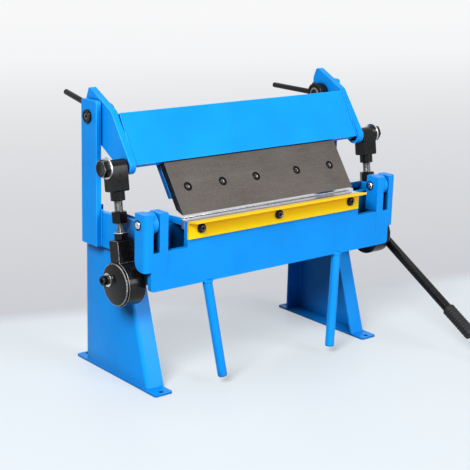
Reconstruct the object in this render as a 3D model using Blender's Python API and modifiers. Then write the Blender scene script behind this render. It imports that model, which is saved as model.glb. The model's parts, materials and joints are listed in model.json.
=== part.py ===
"""Bench sheet metal brake: a bed on two folded stands, a hinged bending apron, and a clamping beam
that a cross shaft with two eccentric links pulls down on the sheet.

X runs across the machine, Y from its front to its back and Z up. Lengths are in metres and angles
in degrees. The sizes are measured from the floor midway between the feet, and the empty that carries
the whole machine then moves the middle of its overall box onto the origin.
"""

from math import acos, asin, atan2, cos, degrees, pi, radians, sin, tan

import bmesh
import bpy
from mathutils import Matrix, Vector

# Fits between pieces
gap = 0.0003
cut_overrun = 0.0012
weld_distance = gap / 100
near = gap / 10

# Stands and feet
frame_half_width = 0.2017
bed_height = 0.2327
foot_length = 0.191
foot_width = 0.028
foot_thickness = 0.003
foot_edge = 0.0023
foot_corner_radius = 0.003
foot_hole_radius = 0.0035
foot_hole_inset = 0.0072
stand_sheet = 0.003
stand_flange = 0.027
stand_bend_radius = 0.0045
stand_front = 0.0734
stand_back = 0.0743
stand_top_drop = 0.0107
stand_shaft_room = 0.0021

# Side layout: the axes of the four pivots, measured from the apron's hinge line
hinge_front = 0.0817
shaft_back = 0.0434
shaft_drop = 0.0796
pivot_back = 0.1227
pivot_rise = 0.1198
clevis_back = 0.0507
clevis_rise = 0.0653
eccentric_throw = 0.015
eccentric_angle = 12.0

# Bed cheeks and posts
cheek_thickness = 0.008
nose_radius = 0.015
nose_foot_angle = 290.0
shaft_boss_radius = 0.017
shaft_boss_end_angle = 320.0
cheek_front_back = 0.0157
cheek_neck_drop = 0.0277
cheek_neck_radius = 0.006
cheek_tail_drop = 0.0532
cheek_tail_step = 0.0263
cheek_tail_radius = 0.008
cheek_corner_radius = 0.003
cheek_top_front_drop = 0.0022
cheek_top_back_drop = 0.0087
cheek_top_bend = 0.0377
post_width = 0.036
post_thickness = 0.008
post_ahead = 0.0195
post_top_rise = 0.0218
post_corner_radius = 0.004

# Bed plates
bed_thickness = 0.010
bed_edge_set = 0.0012
bed_edge_beyond_blade = 0.0025
bed_corner_inset = 0.028
bed_recess = 0.032
bed_back_lip = 0.005
front_plate_thickness = 0.008
front_plate_ahead = 0.0197
front_plate_low = 0.0081
rear_plate_thickness = 0.008
rear_plate_behind = 0.0083
shaft_headroom = 0.012

# Bending apron
hinge_play = 0.001
lug_width = 0.013
tab_width = 0.013
apron_end_step = 0.003
apron_ahead = 0.0159
apron_thickness = 0.008
apron_drop = 0.0867
apron_corner_radius = 0.004
apron_top_drop = 0.0017
apron_body_inset = 0.0482
apron_body_shift = -0.0035
notch_drop = 0.0357
notch_radius = 0.0015
tab_drop = 0.0602
tab_front_radius = 0.005
tab_heel_radius = 0.012
lug_depth = 0.0226
hinge_pin_radius = 0.005
hinge_pin_stand_out = 0.0015
edge_bar_thickness = 0.0061
edge_bar_height = 0.012
angle_end_inset = 0.001
angle_shift = -0.0055
angle_sheet = 0.003
angle_leg = 0.0238
angle_lip = 0.0184
angle_lip_rise = 0.003
angle_bend_radius = 0.004
angle_rise = 0.0008
angle_screw_drop = 0.0107
angle_screw_shares = (-0.434, 0.0, 0.443)
angle_screw_radius = 0.004
angle_screw_head_radius = 0.0065
angle_screw_head = 0.0044
angle_screw_head_shares = ((0.0, 1.0), (0.62, 1.0), (0.88, 0.66), (1.0, 0.2), (1.0, 0.0))
angle_screw_socket_share = 0.4
angle_screw_socket = 0.0025
handle_radius = 0.0065
handle_length = 0.1375
handle_lean_in = 7.9
handle_lean_out = 6.2
handle_shares = (-0.788, 0.743)

# Clamping beam
beam_play = 0.0013
beam_side_thickness = 0.010
beam_tip_radius = 0.0118
beam_tip_last_angle = 144.5
beam_side_shares = ((-0.55, 0.205), (0.135, 0.66), (0.185, 0.64), (0.264, 0.394), (0.264, -0.321))
beam_side_corner_radius = 0.003
face_plate_thickness = 0.006
face_plate_length = 0.0722
face_plate_slope = 60.2
face_plate_foot_ahead = 0.0083
face_plate_foot_rise = 0.0010
shelf_thickness = 0.006
shelf_depth = 0.031
shelf_drop = 0.0042
swing_clearance = 0.002

# Clamping blade and its holder
blade_end_inset = 0.001
blade_thickness = 0.010
blade_height = 0.0755
blade_slope = 54.9
blade_tip_set = 0.0007
blade_tip_lift = 0.0025
blade_nose = 0.0018
blade_nose_angle = 60.0
blade_bevel = 0.012
blade_screw_height = 0.0385
blade_screw_shares = (-0.422, -0.23, -0.038, 0.205, 0.413)
blade_screw_radius = 0.003
blade_screw_reach = 0.006
blade_screw_head_radius = 0.005
blade_screw_head = 0.006
blade_screw_socket = 0.0015
holder_thickness = 0.0075
holder_foot = 0.031

# Beam pivot bolts and setback levers
pivot_radius = 0.006
pivot_head_radius = 0.009
pivot_head = 0.003
pivot_stand_out = 0.0005
pivot_socket = 0.0026
hub_play = 0.001
hub_radius = 0.015
hub_width = 0.014
hub_edge = 0.0008
setback_rod_radius = 0.004
setback_rod_reach = 0.100
setback_rod_start = 0.0085
setback_angles = (10.0, 0.0)

# Clamp shaft, eccentrics and lever
shaft_radius = 0.011
shaft_end_play = 0.0005
spigot_radius = 0.008
bush_wall = 0.0045
eccentric_radius = 0.025
cap_radius = 0.028
cap_thickness = 0.003
edge_chamfer = 0.0006
end_washer_radius = 0.009
end_washer = 0.0016
end_bolt_radius = 0.004
end_bolt_reach = 0.014
end_bolt_head_radius = 0.0065
end_bolt_head = 0.008
end_bolt_socket = 0.003
lever_hub_radius = 0.0195
lever_hub_width = 0.018
lever_radius = 0.007
lever_start = 0.012
lever_length = 0.232
lever_drop_angle = 30.0
grip_radius = 0.0095
grip_length = 0.052
grip_edge = 0.003

# Eccentric links
link_play = 0.0012
link_width = 0.025
ring_wall = 0.0042
rod_width = 0.020
rod_length = 0.0566
rod_corner_radius = 0.002
lock_nut_flats = 0.017
lock_nut_height = 0.0082
lock_washer_radius = 0.0088
lock_washer = 0.0012
lower_stud_radius = 0.005
lower_stud_reach = 0.013
adjuster_flats = 0.019
adjuster_bottom = 0.0783
adjuster_height = 0.0147
upper_stud_radius = 0.006
upper_stud_reach = 0.022
boss_radius = 0.0095
boss_bottom = 0.1071
clevis_bottom = 0.1188
clevis_bolt_radius = 0.006
clevis_washer_radius = 0.014
clevis_washer = 0.002
clevis_bolt_flats = 0.021
clevis_bolt_head = 0.008
clevis_bolt_recess = 0.0008
nut_face_inset = 0.0003

# Stations across the machine, as distances from its middle
cheek_inner = frame_half_width + gap
cheek_outer = cheek_inner + cheek_thickness
post_inner = cheek_outer + gap
post_outer = post_inner + post_thickness
link_inner = cheek_outer + link_play
link_outer = link_inner + link_width
cap_inner = link_outer + gap
cap_outer = cap_inner + cap_thickness
beam_side_outer = post_inner - beam_play
beam_side_inner = beam_side_outer - beam_side_thickness
hub_outer = beam_side_inner - hub_play
hub_inner = hub_outer - hub_width
lug_outer = cheek_inner - hinge_play
lug_inner = lug_outer - lug_width
tab_inner = cheek_outer + hinge_play
tab_outer = tab_inner + tab_width
lever_hub_inner = cap_outer + gap
lever_hub_outer = lever_hub_inner + lever_hub_width
apron_body_half = frame_half_width - apron_body_inset
angle_length = 2 * (apron_body_half - angle_end_inset)
blade_length = 2 * (apron_body_half - blade_end_inset)

# Axes in the side view, as (Y, Z)
hinge = Vector((-hinge_front, bed_height))
shaft = hinge + Vector((shaft_back, -shaft_drop))
pivot = hinge + Vector((pivot_back, pivot_rise))
clevis = hinge + Vector((clevis_back, clevis_rise))
throw_heading = radians(180 + eccentric_angle)
eccentric = shaft + eccentric_throw * Vector((cos(throw_heading), sin(throw_heading)))
link_up = (clevis - eccentric).normalized()
ring_bore_radius = eccentric_radius + gap
ring_radius = ring_bore_radius + ring_wall

ring_steps = 40
round_steps = 24
small_steps = 12
fillet_steps = 3


def fresh_collection(name):
    """An empty collection of this name, in the scene."""
    made = bpy.data.collections.get(name) or bpy.data.collections.new(name)
    if made.name not in bpy.context.scene.collection.children:
        bpy.context.scene.collection.children.link(made)
    return made


def material(name, colour, roughness, metallic):
    """A plain Principled material."""
    made = bpy.data.materials.new(name)
    made.use_nodes = True
    surface = made.node_tree.nodes["Principled BSDF"]
    surface.inputs["Base Color"].default_value = (*colour, 1.0)
    surface.inputs["Roughness"].default_value = roughness
    surface.inputs["Metallic"].default_value = metallic
    made.diffuse_color = (*colour, 1.0)
    return made


def machine_empty():
    """The empty that carries every piece, placed so that the overall box stands over the origin."""
    made = bpy.data.objects.new("machine", None)
    bolt_reach = gap + end_washer + end_bolt_head
    left, right = cap_outer + bolt_reach, lever_hub_outer + bolt_reach
    drop = radians(lever_drop_angle)
    grip_end = (lever_length + grip_edge) * cos(drop) + (grip_radius - grip_edge) * sin(drop)
    front = shaft.x - grip_end
    back = pivot.x + setback_rod_reach
    made.location = ((left - right) / 2, -(front + back) / 2, 0)
    parts.objects.link(made)
    return made


def joint_empty(name, x, axis):
    """An empty on a joint's axis, which carries the pieces that turn there."""
    made = bpy.data.objects.new(name, None)
    made.parent = machine
    made.location = (x, axis.x, axis.y)
    parts.objects.link(made)
    return made


def add(name, mesh, matrix, look, joint=None):
    """Puts a mesh in the scene: as a piece with its material, or as a hidden cutter when look is None."""
    made = bpy.data.objects.new(name, mesh)
    made.parent = joint or machine
    made.matrix_basis = Matrix.Translation(-joint.location) @ matrix if joint else matrix
    if look is None:
        cutters.objects.link(made)
        made.hide_render = True
        made.display_type = "WIRE"
    else:
        parts.objects.link(made)
        mesh.materials.clear()
        mesh.materials.append(look)
    return made


def boolean(target, other, operation):
    """Cuts or joins one object with another."""
    step = target.modifiers.new(other.name, "BOOLEAN")
    step.operation = operation
    step.solver = "EXACT"
    step.object = other


def cut(target, *tools):
    for tool in tools:
        boolean(target, tool, "DIFFERENCE")


def join(target, *others):
    for other in others:
        boolean(target, other, "UNION")


def smooth(mesh):
    """Shades the rounded faces of a mesh smooth and keeps its real edges sharp."""
    mesh.shade_smooth()
    mesh.set_sharp_from_angle(angle=radians(30))


def heading(angle):
    return Vector((cos(radians(angle)), sin(radians(angle))))


def arc(centre, radius, first, last, steps):
    """Points on a circle from one angle to another."""
    turn = (last - first) / steps
    return [centre + radius * heading(first + turn * i) for i in range(steps + 1)]


def circle(centre, radius):
    return arc(centre, radius, 0, 360, round_steps)[:-1]


def hexagon(centre, flats):
    """The six corners of a nut or a socket of this size across its flats."""
    return arc(centre, flats / 2 / cos(pi / 6), 0, 360, 6)[:-1]


def touch_angle(point, centre, radius, side):
    """Angle on a circle of the place where a line from an outside point touches it."""
    away = point - centre
    return degrees(atan2(away.y, away.x) + side * acos(radius / away.length))


def rounded(corners):
    """An outline from (point, radius) corners, each one a sharp point or an arc between its edges."""
    points = []
    for i, (corner, radius) in enumerate(corners):
        if not radius:
            points.append(corner)
            continue
        before = (corners[i - 1][0] - corner).normalized()
        after = (corners[(i + 1) % len(corners)][0] - corner).normalized()
        half = before.angle(after) / 2
        middle = corner + (before + after).normalized() * (radius / sin(half))
        first, last = (corner + edge * (radius / tan(half)) - middle for edge in (before, after))
        start = degrees(atan2(first.y, first.x))
        sweep = (degrees(atan2(last.y, last.x)) - start + 180) % 360 - 180
        points += arc(middle, radius, start, start + sweep, fillet_steps)
    return points


def sharp(points):
    return [(point, 0) for point in points]


def box_outline(left, right, low, high):
    return [Vector((left, low)), Vector((right, low)), Vector((right, high)), Vector((left, high))]


def side_frame(x):
    """Frame of a piece drawn in the side view: its plane's axes are Y and Z, at this X."""
    turn = Matrix(((0, 0, 1), (1, 0, 0), (0, 1, 0))).to_4x4()
    return Matrix.Translation((x, 0, 0)) @ turn


def front_frame(y):
    """Frame of a piece drawn in the front view: its plane's axes are X and Z, at this Y."""
    turn = Matrix(((1, 0, 0), (0, 0, -1), (0, 1, 0))).to_4x4()
    return Matrix.Translation((0, y, 0)) @ turn


def top_frame(z):
    """Frame of a piece drawn in plan, at this Z."""
    return Matrix.Translation((0, 0, z))


def axis_frame(at, direction):
    """Frame at a point, with its Z axis along a direction."""
    turn = Vector(direction).to_track_quat("Z", "Y").to_matrix().to_4x4()
    return Matrix.Translation(at) @ turn


def plate_mesh(name, outlines, thickness):
    """A flat piece from a filled 2D curve: an outer outline and any holes, half the thickness each way."""
    curve = bpy.data.curves.new(name, "CURVE")
    curve.dimensions = "2D"
    curve.fill_mode = "BOTH"
    curve.extrude = thickness / 2
    for points in outlines:
        spline = curve.splines.new("POLY")
        spline.points.add(len(points) - 1)
        spline.use_cyclic_u = True
        for place, point in zip(spline.points, points):
            place.co = (point.x, point.y, 0, 1)
    drawn = bpy.data.objects.new(name, curve)
    parts.objects.link(drawn)
    graph = bpy.context.evaluated_depsgraph_get()
    mesh = bpy.data.meshes.new_from_object(drawn.evaluated_get(graph))
    bpy.data.objects.remove(drawn)
    bpy.data.curves.remove(curve)
    soft = bmesh.new()
    soft.from_mesh(mesh)
    bmesh.ops.remove_doubles(soft, verts=soft.verts, dist=weld_distance)
    bmesh.ops.recalc_face_normals(soft, faces=soft.faces)
    soft.to_mesh(mesh)
    soft.free()
    mesh.name = name
    smooth(mesh)
    return mesh


def plate(name, outlines, thickness, frame, look, joint=None):
    return add(name, plate_mesh(name, outlines, thickness), frame, look, joint)


def box(name, low, high, look, joint=None):
    """A block between two corners."""
    low, high = Vector(low), Vector(high)
    soft = bmesh.new()
    bmesh.ops.create_cube(soft, size=1)
    bmesh.ops.scale(soft, vec=high - low, verts=soft.verts)
    mesh = bpy.data.meshes.new(name)
    soft.to_mesh(mesh)
    soft.free()
    return add(name, mesh, Matrix.Translation((low + high) / 2), look, joint)


def turned(name, profile, frame, look, joint=None, closed=False, steps=round_steps):
    """A turned piece: its profile as (radius, height) runs down the outer side and is screwed round Z."""
    soft = bmesh.new()
    points = [soft.verts.new((radius, 0, height)) for radius, height in profile]
    for first, second in zip(points, points[1:]):
        soft.edges.new((first, second))
    if closed:
        soft.edges.new((points[-1], points[0]))
    mesh = bpy.data.meshes.new(name)
    soft.to_mesh(mesh)
    soft.free()
    made = add(name, mesh, frame, look, joint)
    screw = made.modifiers.new("turn", "SCREW")
    screw.axis = "Z"
    screw.steps = steps
    screw.render_steps = steps
    screw.use_merge_vertices = True
    screw.merge_threshold = weld_distance
    screw.use_smooth_shade = False
    return made


def pin_profile(radius, low, high, edge=0):
    """Profile of a plain round bar, with both ends chamfered."""
    profile = [(0, high), (radius - edge, high), (radius, high - edge), (radius, low + edge)]
    profile += [(radius - edge, low), (0, low)]
    return profile if edge else [(0, high), (radius, high), (radius, low), (0, low)]


def drill(name, radius, frame, low, high):
    """A round cutter along a frame's Z axis."""
    return turned(name, pin_profile(radius, low, high), frame, None)


def hex_tool(name, flats, frame, low, high):
    """A hexagonal prism along a frame's Z axis, to cut a socket or to join on as a nut."""
    middle = frame @ Matrix.Translation((0, 0, (low + high) / 2))
    return plate(name, [hexagon(Vector((0, 0)), flats)], high - low, middle, None)


def nut_crown(name, flats, frame, low, high):
    """A nut's hexagon with both faces chamfered: the prism's corners are turned off by a cone each way."""
    clear = flats / 2 / cos(pi / 6) + gap
    face = flats / 2 - nut_face_inset
    slope = (clear - face) / 2
    prism = hex_tool(name, flats, frame, low, high)
    reach = clear + cut_overrun
    rim = [
        (reach, high + cut_overrun),
        (reach, low - cut_overrun),
        (face, low - cut_overrun),
        (face, low),
        (clear, low + slope),
        (clear, high - slope),
        (face, high),
        (face, high + cut_overrun),
    ]
    turner = turned(name + "_turner", rim, frame, None, closed=True, steps=small_steps)
    boolean(prism, turner, "DIFFERENCE")
    return prism


def stand(side, name, look):
    """A channel folded from sheet: the web outside, and a flange turned inward along its front and back."""
    low = foot_thickness + gap
    high = bed_height - stand_top_drop
    foot = Vector((-stand_front, low))
    lean_edge = shaft - foot
    room = asin((shaft_radius + stand_shaft_room) / lean_edge.length)
    lean = tan(atan2(lean_edge.x, lean_edge.y) + room)
    soft = bmesh.new()
    bmesh.ops.create_cube(soft, size=1)
    for vertex in soft.verts:
        at_top = vertex.co.z > 0
        at_back = vertex.co.y > 0
        at_web = vertex.co.x * side > 0
        z = high + stand_sheet if at_top else low - stand_sheet
        y = stand_back if at_back else foot.x + lean * (z - low)
        x = frame_half_width if at_web else frame_half_width - stand_flange
        vertex.co = (side * x, y, z)
    inner = [f for f in soft.faces if abs(f.normal.z) > 0.5 or f.normal.x * side < -0.5]
    bmesh.ops.delete(soft, geom=inner, context="FACES")
    bends = [edge for edge in soft.edges if len(edge.link_faces) == 2]
    bmesh.ops.bevel(
        soft, geom=bends, offset=stand_bend_radius, segments=fillet_steps, profile=0.5, affect="EDGES"
    )
    bmesh.ops.recalc_face_normals(soft, faces=soft.faces)
    web = max(soft.faces, key=lambda face: face.calc_area())
    if web.normal.x * side < 0:
        bmesh.ops.reverse_faces(soft, faces=soft.faces)
    mesh = bpy.data.meshes.new(name)
    soft.to_mesh(mesh)
    soft.free()
    made = add(name, mesh, Matrix.Identity(4), look)
    wall = made.modifiers.new("sheet", "SOLIDIFY")
    wall.thickness = stand_sheet
    wall.offset = -1
    wall.use_even_offset = True
    inner_x, outer_x = sorted((0, side * 2 * frame_half_width))
    reach = stand_front + stand_back
    trim = box(name + "_trim", (inner_x, -reach, low), (outer_x, reach, high), None)
    boolean(made, trim, "INTERSECT")
    return made


def foot(side, name, look):
    """A floor strip under a stand, with a fixing hole at each end."""
    middle = side * (frame_half_width + foot_edge - foot_width / 2)
    reach, half = foot_length / 2, foot_width / 2
    corners = box_outline(middle - half, middle + half, -reach, reach)
    outline = rounded([(corner, foot_corner_radius) for corner in corners])
    holes = [
        circle(Vector((middle, end * (reach - foot_hole_inset))), foot_hole_radius) for end in (-1, 1)
    ]
    return plate(name, [outline, *holes], foot_thickness, top_frame(foot_thickness / 2), look)


def cheek(side, name, look):
    """A bed end plate: the hinge nose, the shaft boss below it and a tail that holds the post."""
    nose_start = -degrees(asin(cheek_top_front_drop / nose_radius))
    neck = hinge + Vector((cheek_front_back, -cheek_neck_drop))
    boss_start = touch_angle(neck, shaft, shaft_boss_radius, 1)
    tail_low = bed_height - cheek_tail_drop
    tail_back = pivot.x - post_ahead + post_width + gap
    tail_front = shaft.x + cheek_tail_step
    corners = sharp(arc(hinge, nose_radius, nose_start, nose_foot_angle, round_steps))
    corners.append((neck, cheek_neck_radius))
    corners += sharp(arc(shaft, shaft_boss_radius, boss_start, shaft_boss_end_angle, round_steps // 2))
    corners.append((Vector((tail_front, tail_low)), cheek_tail_radius))
    corners.append((Vector((tail_back, tail_low)), cheek_corner_radius))
    corners.append((Vector((tail_back, bed_height - cheek_top_back_drop)), cheek_corner_radius))
    corners.append((Vector((hinge.x + cheek_top_bend, bed_height - cheek_top_front_drop)), 0))
    holes = [circle(hinge, hinge_pin_radius + gap), circle(shaft, spigot_radius + bush_wall + gap)]
    middle = side * (cheek_inner + cheek_thickness / 2)
    return plate(name, [rounded(corners), *holes], cheek_thickness, side_frame(middle), look)


def post(side, name, look):
    """A flat bar welded outside a cheek, which carries the beam's pivot."""
    front = pivot.x - post_ahead
    low = bed_height - cheek_tail_drop
    high = pivot.y + post_top_rise
    lower_back, lower_front = Vector((front + post_width, low)), Vector((front, low))
    upper_back, upper_front = Vector((front + post_width, high)), Vector((front, high))
    corners = sharp([lower_front, lower_back])
    corners += [(upper_back, post_corner_radius), (upper_front, post_corner_radius)]
    hole = circle(pivot, pivot_radius + gap)
    middle = side * (post_inner + post_thickness / 2)
    return plate(name, [rounded(corners), hole], post_thickness, side_frame(middle), look)


def bed_top(look):
    """The ground bed plate, cut back at both ends so that the apron's lugs can swing past it."""
    front = hinge.x + bed_edge_set
    recess = hinge.x + bed_recess
    back = shaft.x + rear_plate_behind + rear_plate_thickness + bed_back_lip
    edge = blade_length / 2 + bed_edge_beyond_blade
    corner = lug_inner - bed_corner_inset
    half = [Vector((edge, front)), Vector((corner, recess)), Vector((frame_half_width, recess))]
    half.append(Vector((frame_half_width, back)))
    other = [Vector((-point.x, point.y)) for point in reversed(half)]
    middle = bed_height - bed_thickness / 2
    return plate("bed_top", [half + other], bed_thickness, top_frame(middle), look)


def bed_webs(look):
    """The two upright plates that stiffen the bed, ahead of the clamp shaft and above it."""
    top = bed_height - bed_thickness - gap
    front = shaft.x - front_plate_ahead - front_plate_thickness
    box(
        "bed_front_plate",
        (-frame_half_width, front, shaft.y - front_plate_low),
        (frame_half_width, front + front_plate_thickness, top),
        look,
    )
    rear = shaft.x + rear_plate_behind
    box(
        "bed_rear_plate",
        (-frame_half_width, rear, shaft.y + shaft_radius + shaft_headroom),
        (frame_half_width, rear + rear_plate_thickness, top),
        look,
    )


def hinge_pin(side, name, look):
    """A pin through lug, cheek and tab."""
    frame = axis_frame((0, hinge.x, hinge.y), (side, 0, 0))
    profile = pin_profile(
        hinge_pin_radius, lug_inner - hinge_pin_stand_out, tab_outer + hinge_pin_stand_out, edge_chamfer
    )
    return turned(name, profile, frame, look)


def shaft_bush(side, name, look):
    """A plain bush in a cheek, in which the shaft's spigot turns."""
    bore = spigot_radius + gap
    outer = spigot_radius + bush_wall
    profile = [(outer, cheek_outer), (outer, cheek_inner), (bore, cheek_inner), (bore, cheek_outer)]
    frame = axis_frame((0, shaft.x, shaft.y), (side, 0, 0))
    return turned(name, profile, frame, look, closed=True)


def pivot_bolt(side, name, look):
    """The bolt that the beam and a setback lever turn on, with a low socket head outside the post."""
    head = post_outer + gap
    profile = [
        (0, head + pivot_head),
        (pivot_head_radius - edge_chamfer, head + pivot_head),
        (pivot_head_radius, head + pivot_head - edge_chamfer),
        (pivot_head_radius, head),
        (pivot_radius, head),
        (pivot_radius, hub_inner - pivot_stand_out),
        (0, hub_inner - pivot_stand_out),
    ]
    frame = axis_frame((0, pivot.x, pivot.y), (side, 0, 0))
    bolt = turned(name, profile, frame, look)
    top = head + pivot_head
    floor = head + pivot_head / 3
    cut(bolt, hex_tool(name + "_socket", 2 * pivot_socket, frame, floor, top + cut_overrun))
    return bolt


def apron_plate(look, joint):
    """The apron's flat plate, which rises between its two notches, with an end piece on each side."""
    low = bed_height - apron_drop
    notch = bed_height - notch_drop
    body_top = bed_height - apron_top_drop
    seam = lug_inner - gap
    right = apron_body_shift + apron_body_half
    left = apron_body_shift - apron_body_half
    corners = [
        (Vector((-seam, low)), 0),
        (Vector((seam, low)), 0),
        (Vector((seam, notch)), 0),
        (Vector((right, notch)), notch_radius),
        (Vector((right, body_top)), 0),
        (Vector((left, body_top)), 0),
        (Vector((left, notch)), notch_radius),
        (Vector((-seam, notch)), 0),
    ]
    frame = front_frame(hinge.x - apron_ahead + apron_thickness / 2)
    return plate("apron_plate", [rounded(corners)], apron_thickness, frame, look, joint)


def slice_mesh(soft, at, normal):
    """Divides a mesh's faces along a plane, without opening it."""
    geometry = soft.verts[:] + soft.edges[:] + soft.faces[:]
    bmesh.ops.bisect_plane(soft, geom=geometry, dist=weld_distance, plane_co=at, plane_no=normal)


def bevel_edges(soft, radius, wanted):
    """Rounds the edges whose two ends both pass a test."""
    edges = [edge for edge in soft.edges if all(wanted(vertex.co) for vertex in edge.verts)]
    bmesh.ops.bevel(
        soft, geom=edges, offset=radius, segments=fillet_steps, profile=0.5, affect="EDGES"
    )


def apron_end_mesh(side, name):
    """An end piece in the front frame: a lug and a tab drawn back to full depth, and a slot between."""
    low = bed_height - apron_drop
    top = bed_height + nose_radius
    notch = bed_height - notch_drop
    tab_low = bed_height - tab_drop
    front = apron_thickness / 2
    back = front - lug_depth
    end = tab_inner + apron_end_step
    corners = [
        (Vector((side * lug_inner, low)), 0),
        (Vector((side * end, low)), apron_corner_radius),
        (Vector((side * end, tab_low)), 0),
        (Vector((side * tab_outer, tab_low)), 0),
        (Vector((side * tab_outer, top)), 0),
        (Vector((side * tab_inner, top)), 0),
        (Vector((side * tab_inner, notch)), notch_radius),
        (Vector((side * lug_outer, notch)), notch_radius),
        (Vector((side * lug_outer, top)), 0),
        (Vector((side * lug_inner, top)), 0),
    ]
    mesh = plate_mesh(name, [rounded(corners)], apron_thickness)
    soft = bmesh.new()
    soft.from_mesh(mesh)
    bmesh.ops.dissolve_limit(soft, angle_limit=radians(1), verts=soft.verts, edges=soft.edges)
    bevel_edges(
        soft, tab_front_radius, lambda at: abs(at.x) > tab_outer - near and at.z > front - near
    )
    slice_mesh(soft, (0, notch, 0), (0, 1, 0))
    slice_mesh(soft, (0, tab_low, 0), (0, 1, 0))
    slice_mesh(soft, (side * tab_inner, 0, 0), (1, 0, 0))
    deep = []
    for face in soft.faces:
        at = face.calc_center_median()
        in_tab = abs(at.x) > tab_inner and at.y > tab_low
        if at.z < near - front and (at.y > notch or in_tab):
            deep.append(face)
    drawn = bmesh.ops.extrude_face_region(soft, geom=deep)["geom"]
    bmesh.ops.delete(soft, geom=deep, context="FACES")
    moved = [item for item in drawn if isinstance(item, bmesh.types.BMVert)]
    bmesh.ops.translate(soft, verts=moved, vec=(0, 0, apron_thickness - lug_depth))
    bevel_edges(
        soft, tab_heel_radius, lambda at: abs(at.y - tab_low) < near and at.z < back + near
    )
    bmesh.ops.dissolve_degenerate(soft, dist=weld_distance, edges=soft.edges)
    bmesh.ops.recalc_face_normals(soft, faces=soft.faces)
    bmesh.ops.triangulate(soft, faces=soft.faces)
    soft.to_mesh(mesh)
    soft.free()
    return mesh


def apron_end(side, name, look, joint):
    """An end piece of the apron, bored through its lug and its tab for the hinge pin."""
    middle = hinge.x - apron_ahead + apron_thickness / 2
    made = add(name, apron_end_mesh(side, name), front_frame(middle), look, joint)
    frame = axis_frame((0, hinge.x, hinge.y), (side, 0, 0))
    reach = (lug_inner - cut_overrun, tab_outer + cut_overrun)
    cut(made, drill(name + "_bore", hinge_pin_radius + gap, frame, *reach))
    return made


def apron_trim(look_bar, look_angle, look_screw, joint, apron):
    """The bare bending edge bar behind the apron's top, the coloured angle ahead of it and its screws."""
    front = hinge.x - apron_ahead
    back = front + apron_thickness
    top = bed_height - apron_top_drop
    left = apron_body_shift - apron_body_half
    right = apron_body_shift + apron_body_half
    bar = box(
        "edge_bar",
        (left, back + gap, top - edge_bar_height),
        (right, back + gap + edge_bar_thickness, top),
        look_bar,
        joint,
    )
    leg_back = front - gap
    angle_top = top + angle_rise
    leg_front = leg_back - angle_sheet
    lip_front = leg_back - angle_lip
    lip_low = angle_top - angle_sheet
    corners = [
        (Vector((leg_back, angle_top - angle_leg)), 0),
        (Vector((leg_back, angle_top)), angle_bend_radius),
        (Vector((lip_front, angle_top + angle_lip_rise)), 0),
        (Vector((lip_front, lip_low + angle_lip_rise)), 0),
        (Vector((leg_front, lip_low)), angle_bend_radius - angle_sheet),
        (Vector((leg_front, angle_top - angle_leg)), 0),
    ]
    angle = plate(
        "edge_angle", [rounded(corners)], angle_length, side_frame(angle_shift), look_angle, joint
    )
    height = angle_top - angle_screw_drop
    through = apron_thickness + angle_sheet + edge_bar_thickness + 2 * gap
    profile = [
        (out * angle_screw_head_radius, up * angle_screw_head) for out, up in angle_screw_head_shares
    ]
    profile += [(angle_screw_radius, 0), (angle_screw_radius, gap - through), (0, gap - through)]
    floor = angle_screw_head * angle_screw_socket_share
    mouth = angle_screw_head + cut_overrun
    bore = angle_screw_radius + gap
    for number, share in enumerate(angle_screw_shares, 1):
        name = f"angle_screw_{number}"
        x = angle_shift + share * angle_length
        frame = axis_frame((x, leg_front - gap, height), (0, -1, 0))
        hole = drill(name + "_hole", bore, frame, -through - cut_overrun, cut_overrun)
        for drilled in (bar, angle, apron):
            cut(drilled, hole)
        screw = turned(name, profile, frame, look_screw, joint)
        cut(screw, hex_tool(name + "_socket", 2 * angle_screw_socket, frame, floor, mouth))


def apron_handle(side, name, x, look, joint):
    """A round handle bar under the apron, leaning forward and toward the middle, with a round lower end."""
    top = bed_height - apron_drop
    middle = hinge.x - apron_ahead + apron_thickness / 2
    down = Vector((-side * tan(radians(handle_lean_in)), -tan(radians(handle_lean_out)), -1))
    frame = axis_frame((x, middle, top), down)
    end = Vector((0, handle_length - handle_radius))
    round_end = arc(end, handle_radius, 0, 90, fillet_steps)[:-1]
    profile = [(0, handle_length)] + [(point.x, point.y) for point in reversed(round_end)]
    profile += [(handle_radius, -handle_radius), (0, -handle_radius)]
    bar = turned(name, profile, frame, look, joint)
    reach = 2 * handle_radius
    low = (x - reach, middle - reach, top - gap)
    cut(bar, box(name + "_trim", low, (x + reach, middle + reach, top + reach), None))
    return bar


def beam_side(side, name, look, joint):
    """A beam end plate, from the pivot down to the rounded tip that the link pulls on."""
    reach = pivot.x - clevis.x
    drop = pivot.y - clevis.y
    places = [pivot + Vector((back * reach, up * drop)) for back, up in beam_side_shares]
    corners = [(place, beam_side_corner_radius) for place in places]
    first = touch_angle(places[-1], clevis, beam_tip_radius, -1)
    last = beam_tip_last_angle - 360
    corners += sharp(arc(clevis, beam_tip_radius, first, last, round_steps // 2))
    holes = [circle(pivot, pivot_radius + gap), circle(clevis, clevis_bolt_radius + swing_clearance)]
    frame = side_frame(side * (beam_side_inner + beam_side_thickness / 2))
    return plate(name, [rounded(corners), *holes], beam_side_thickness, frame, look, joint)


def beam_plates(look, joint):
    """The beam's sloping face plate and the shelf behind it, between the two end plates."""
    half = beam_side_inner - gap
    along = heading(face_plate_slope)
    behind = heading(face_plate_slope - 90)
    foot_front = clevis + Vector((-face_plate_foot_ahead, face_plate_foot_rise))
    corners = [
        foot_front,
        foot_front + face_plate_thickness * behind,
        foot_front + face_plate_thickness * behind + face_plate_length * along,
        foot_front + face_plate_length * along,
    ]
    plate("beam_face_plate", [corners], 2 * half, side_frame(0), look, joint)
    low = clevis.y - shelf_drop
    high = low + shelf_thickness
    back_foot = corners[1]
    front = back_foot.x + (high - back_foot.y) / tan(radians(face_plate_slope)) + gap
    box("beam_shelf", (-half, front, low), (half, front + shelf_depth, high), look, joint)
    return low - gap


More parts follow.
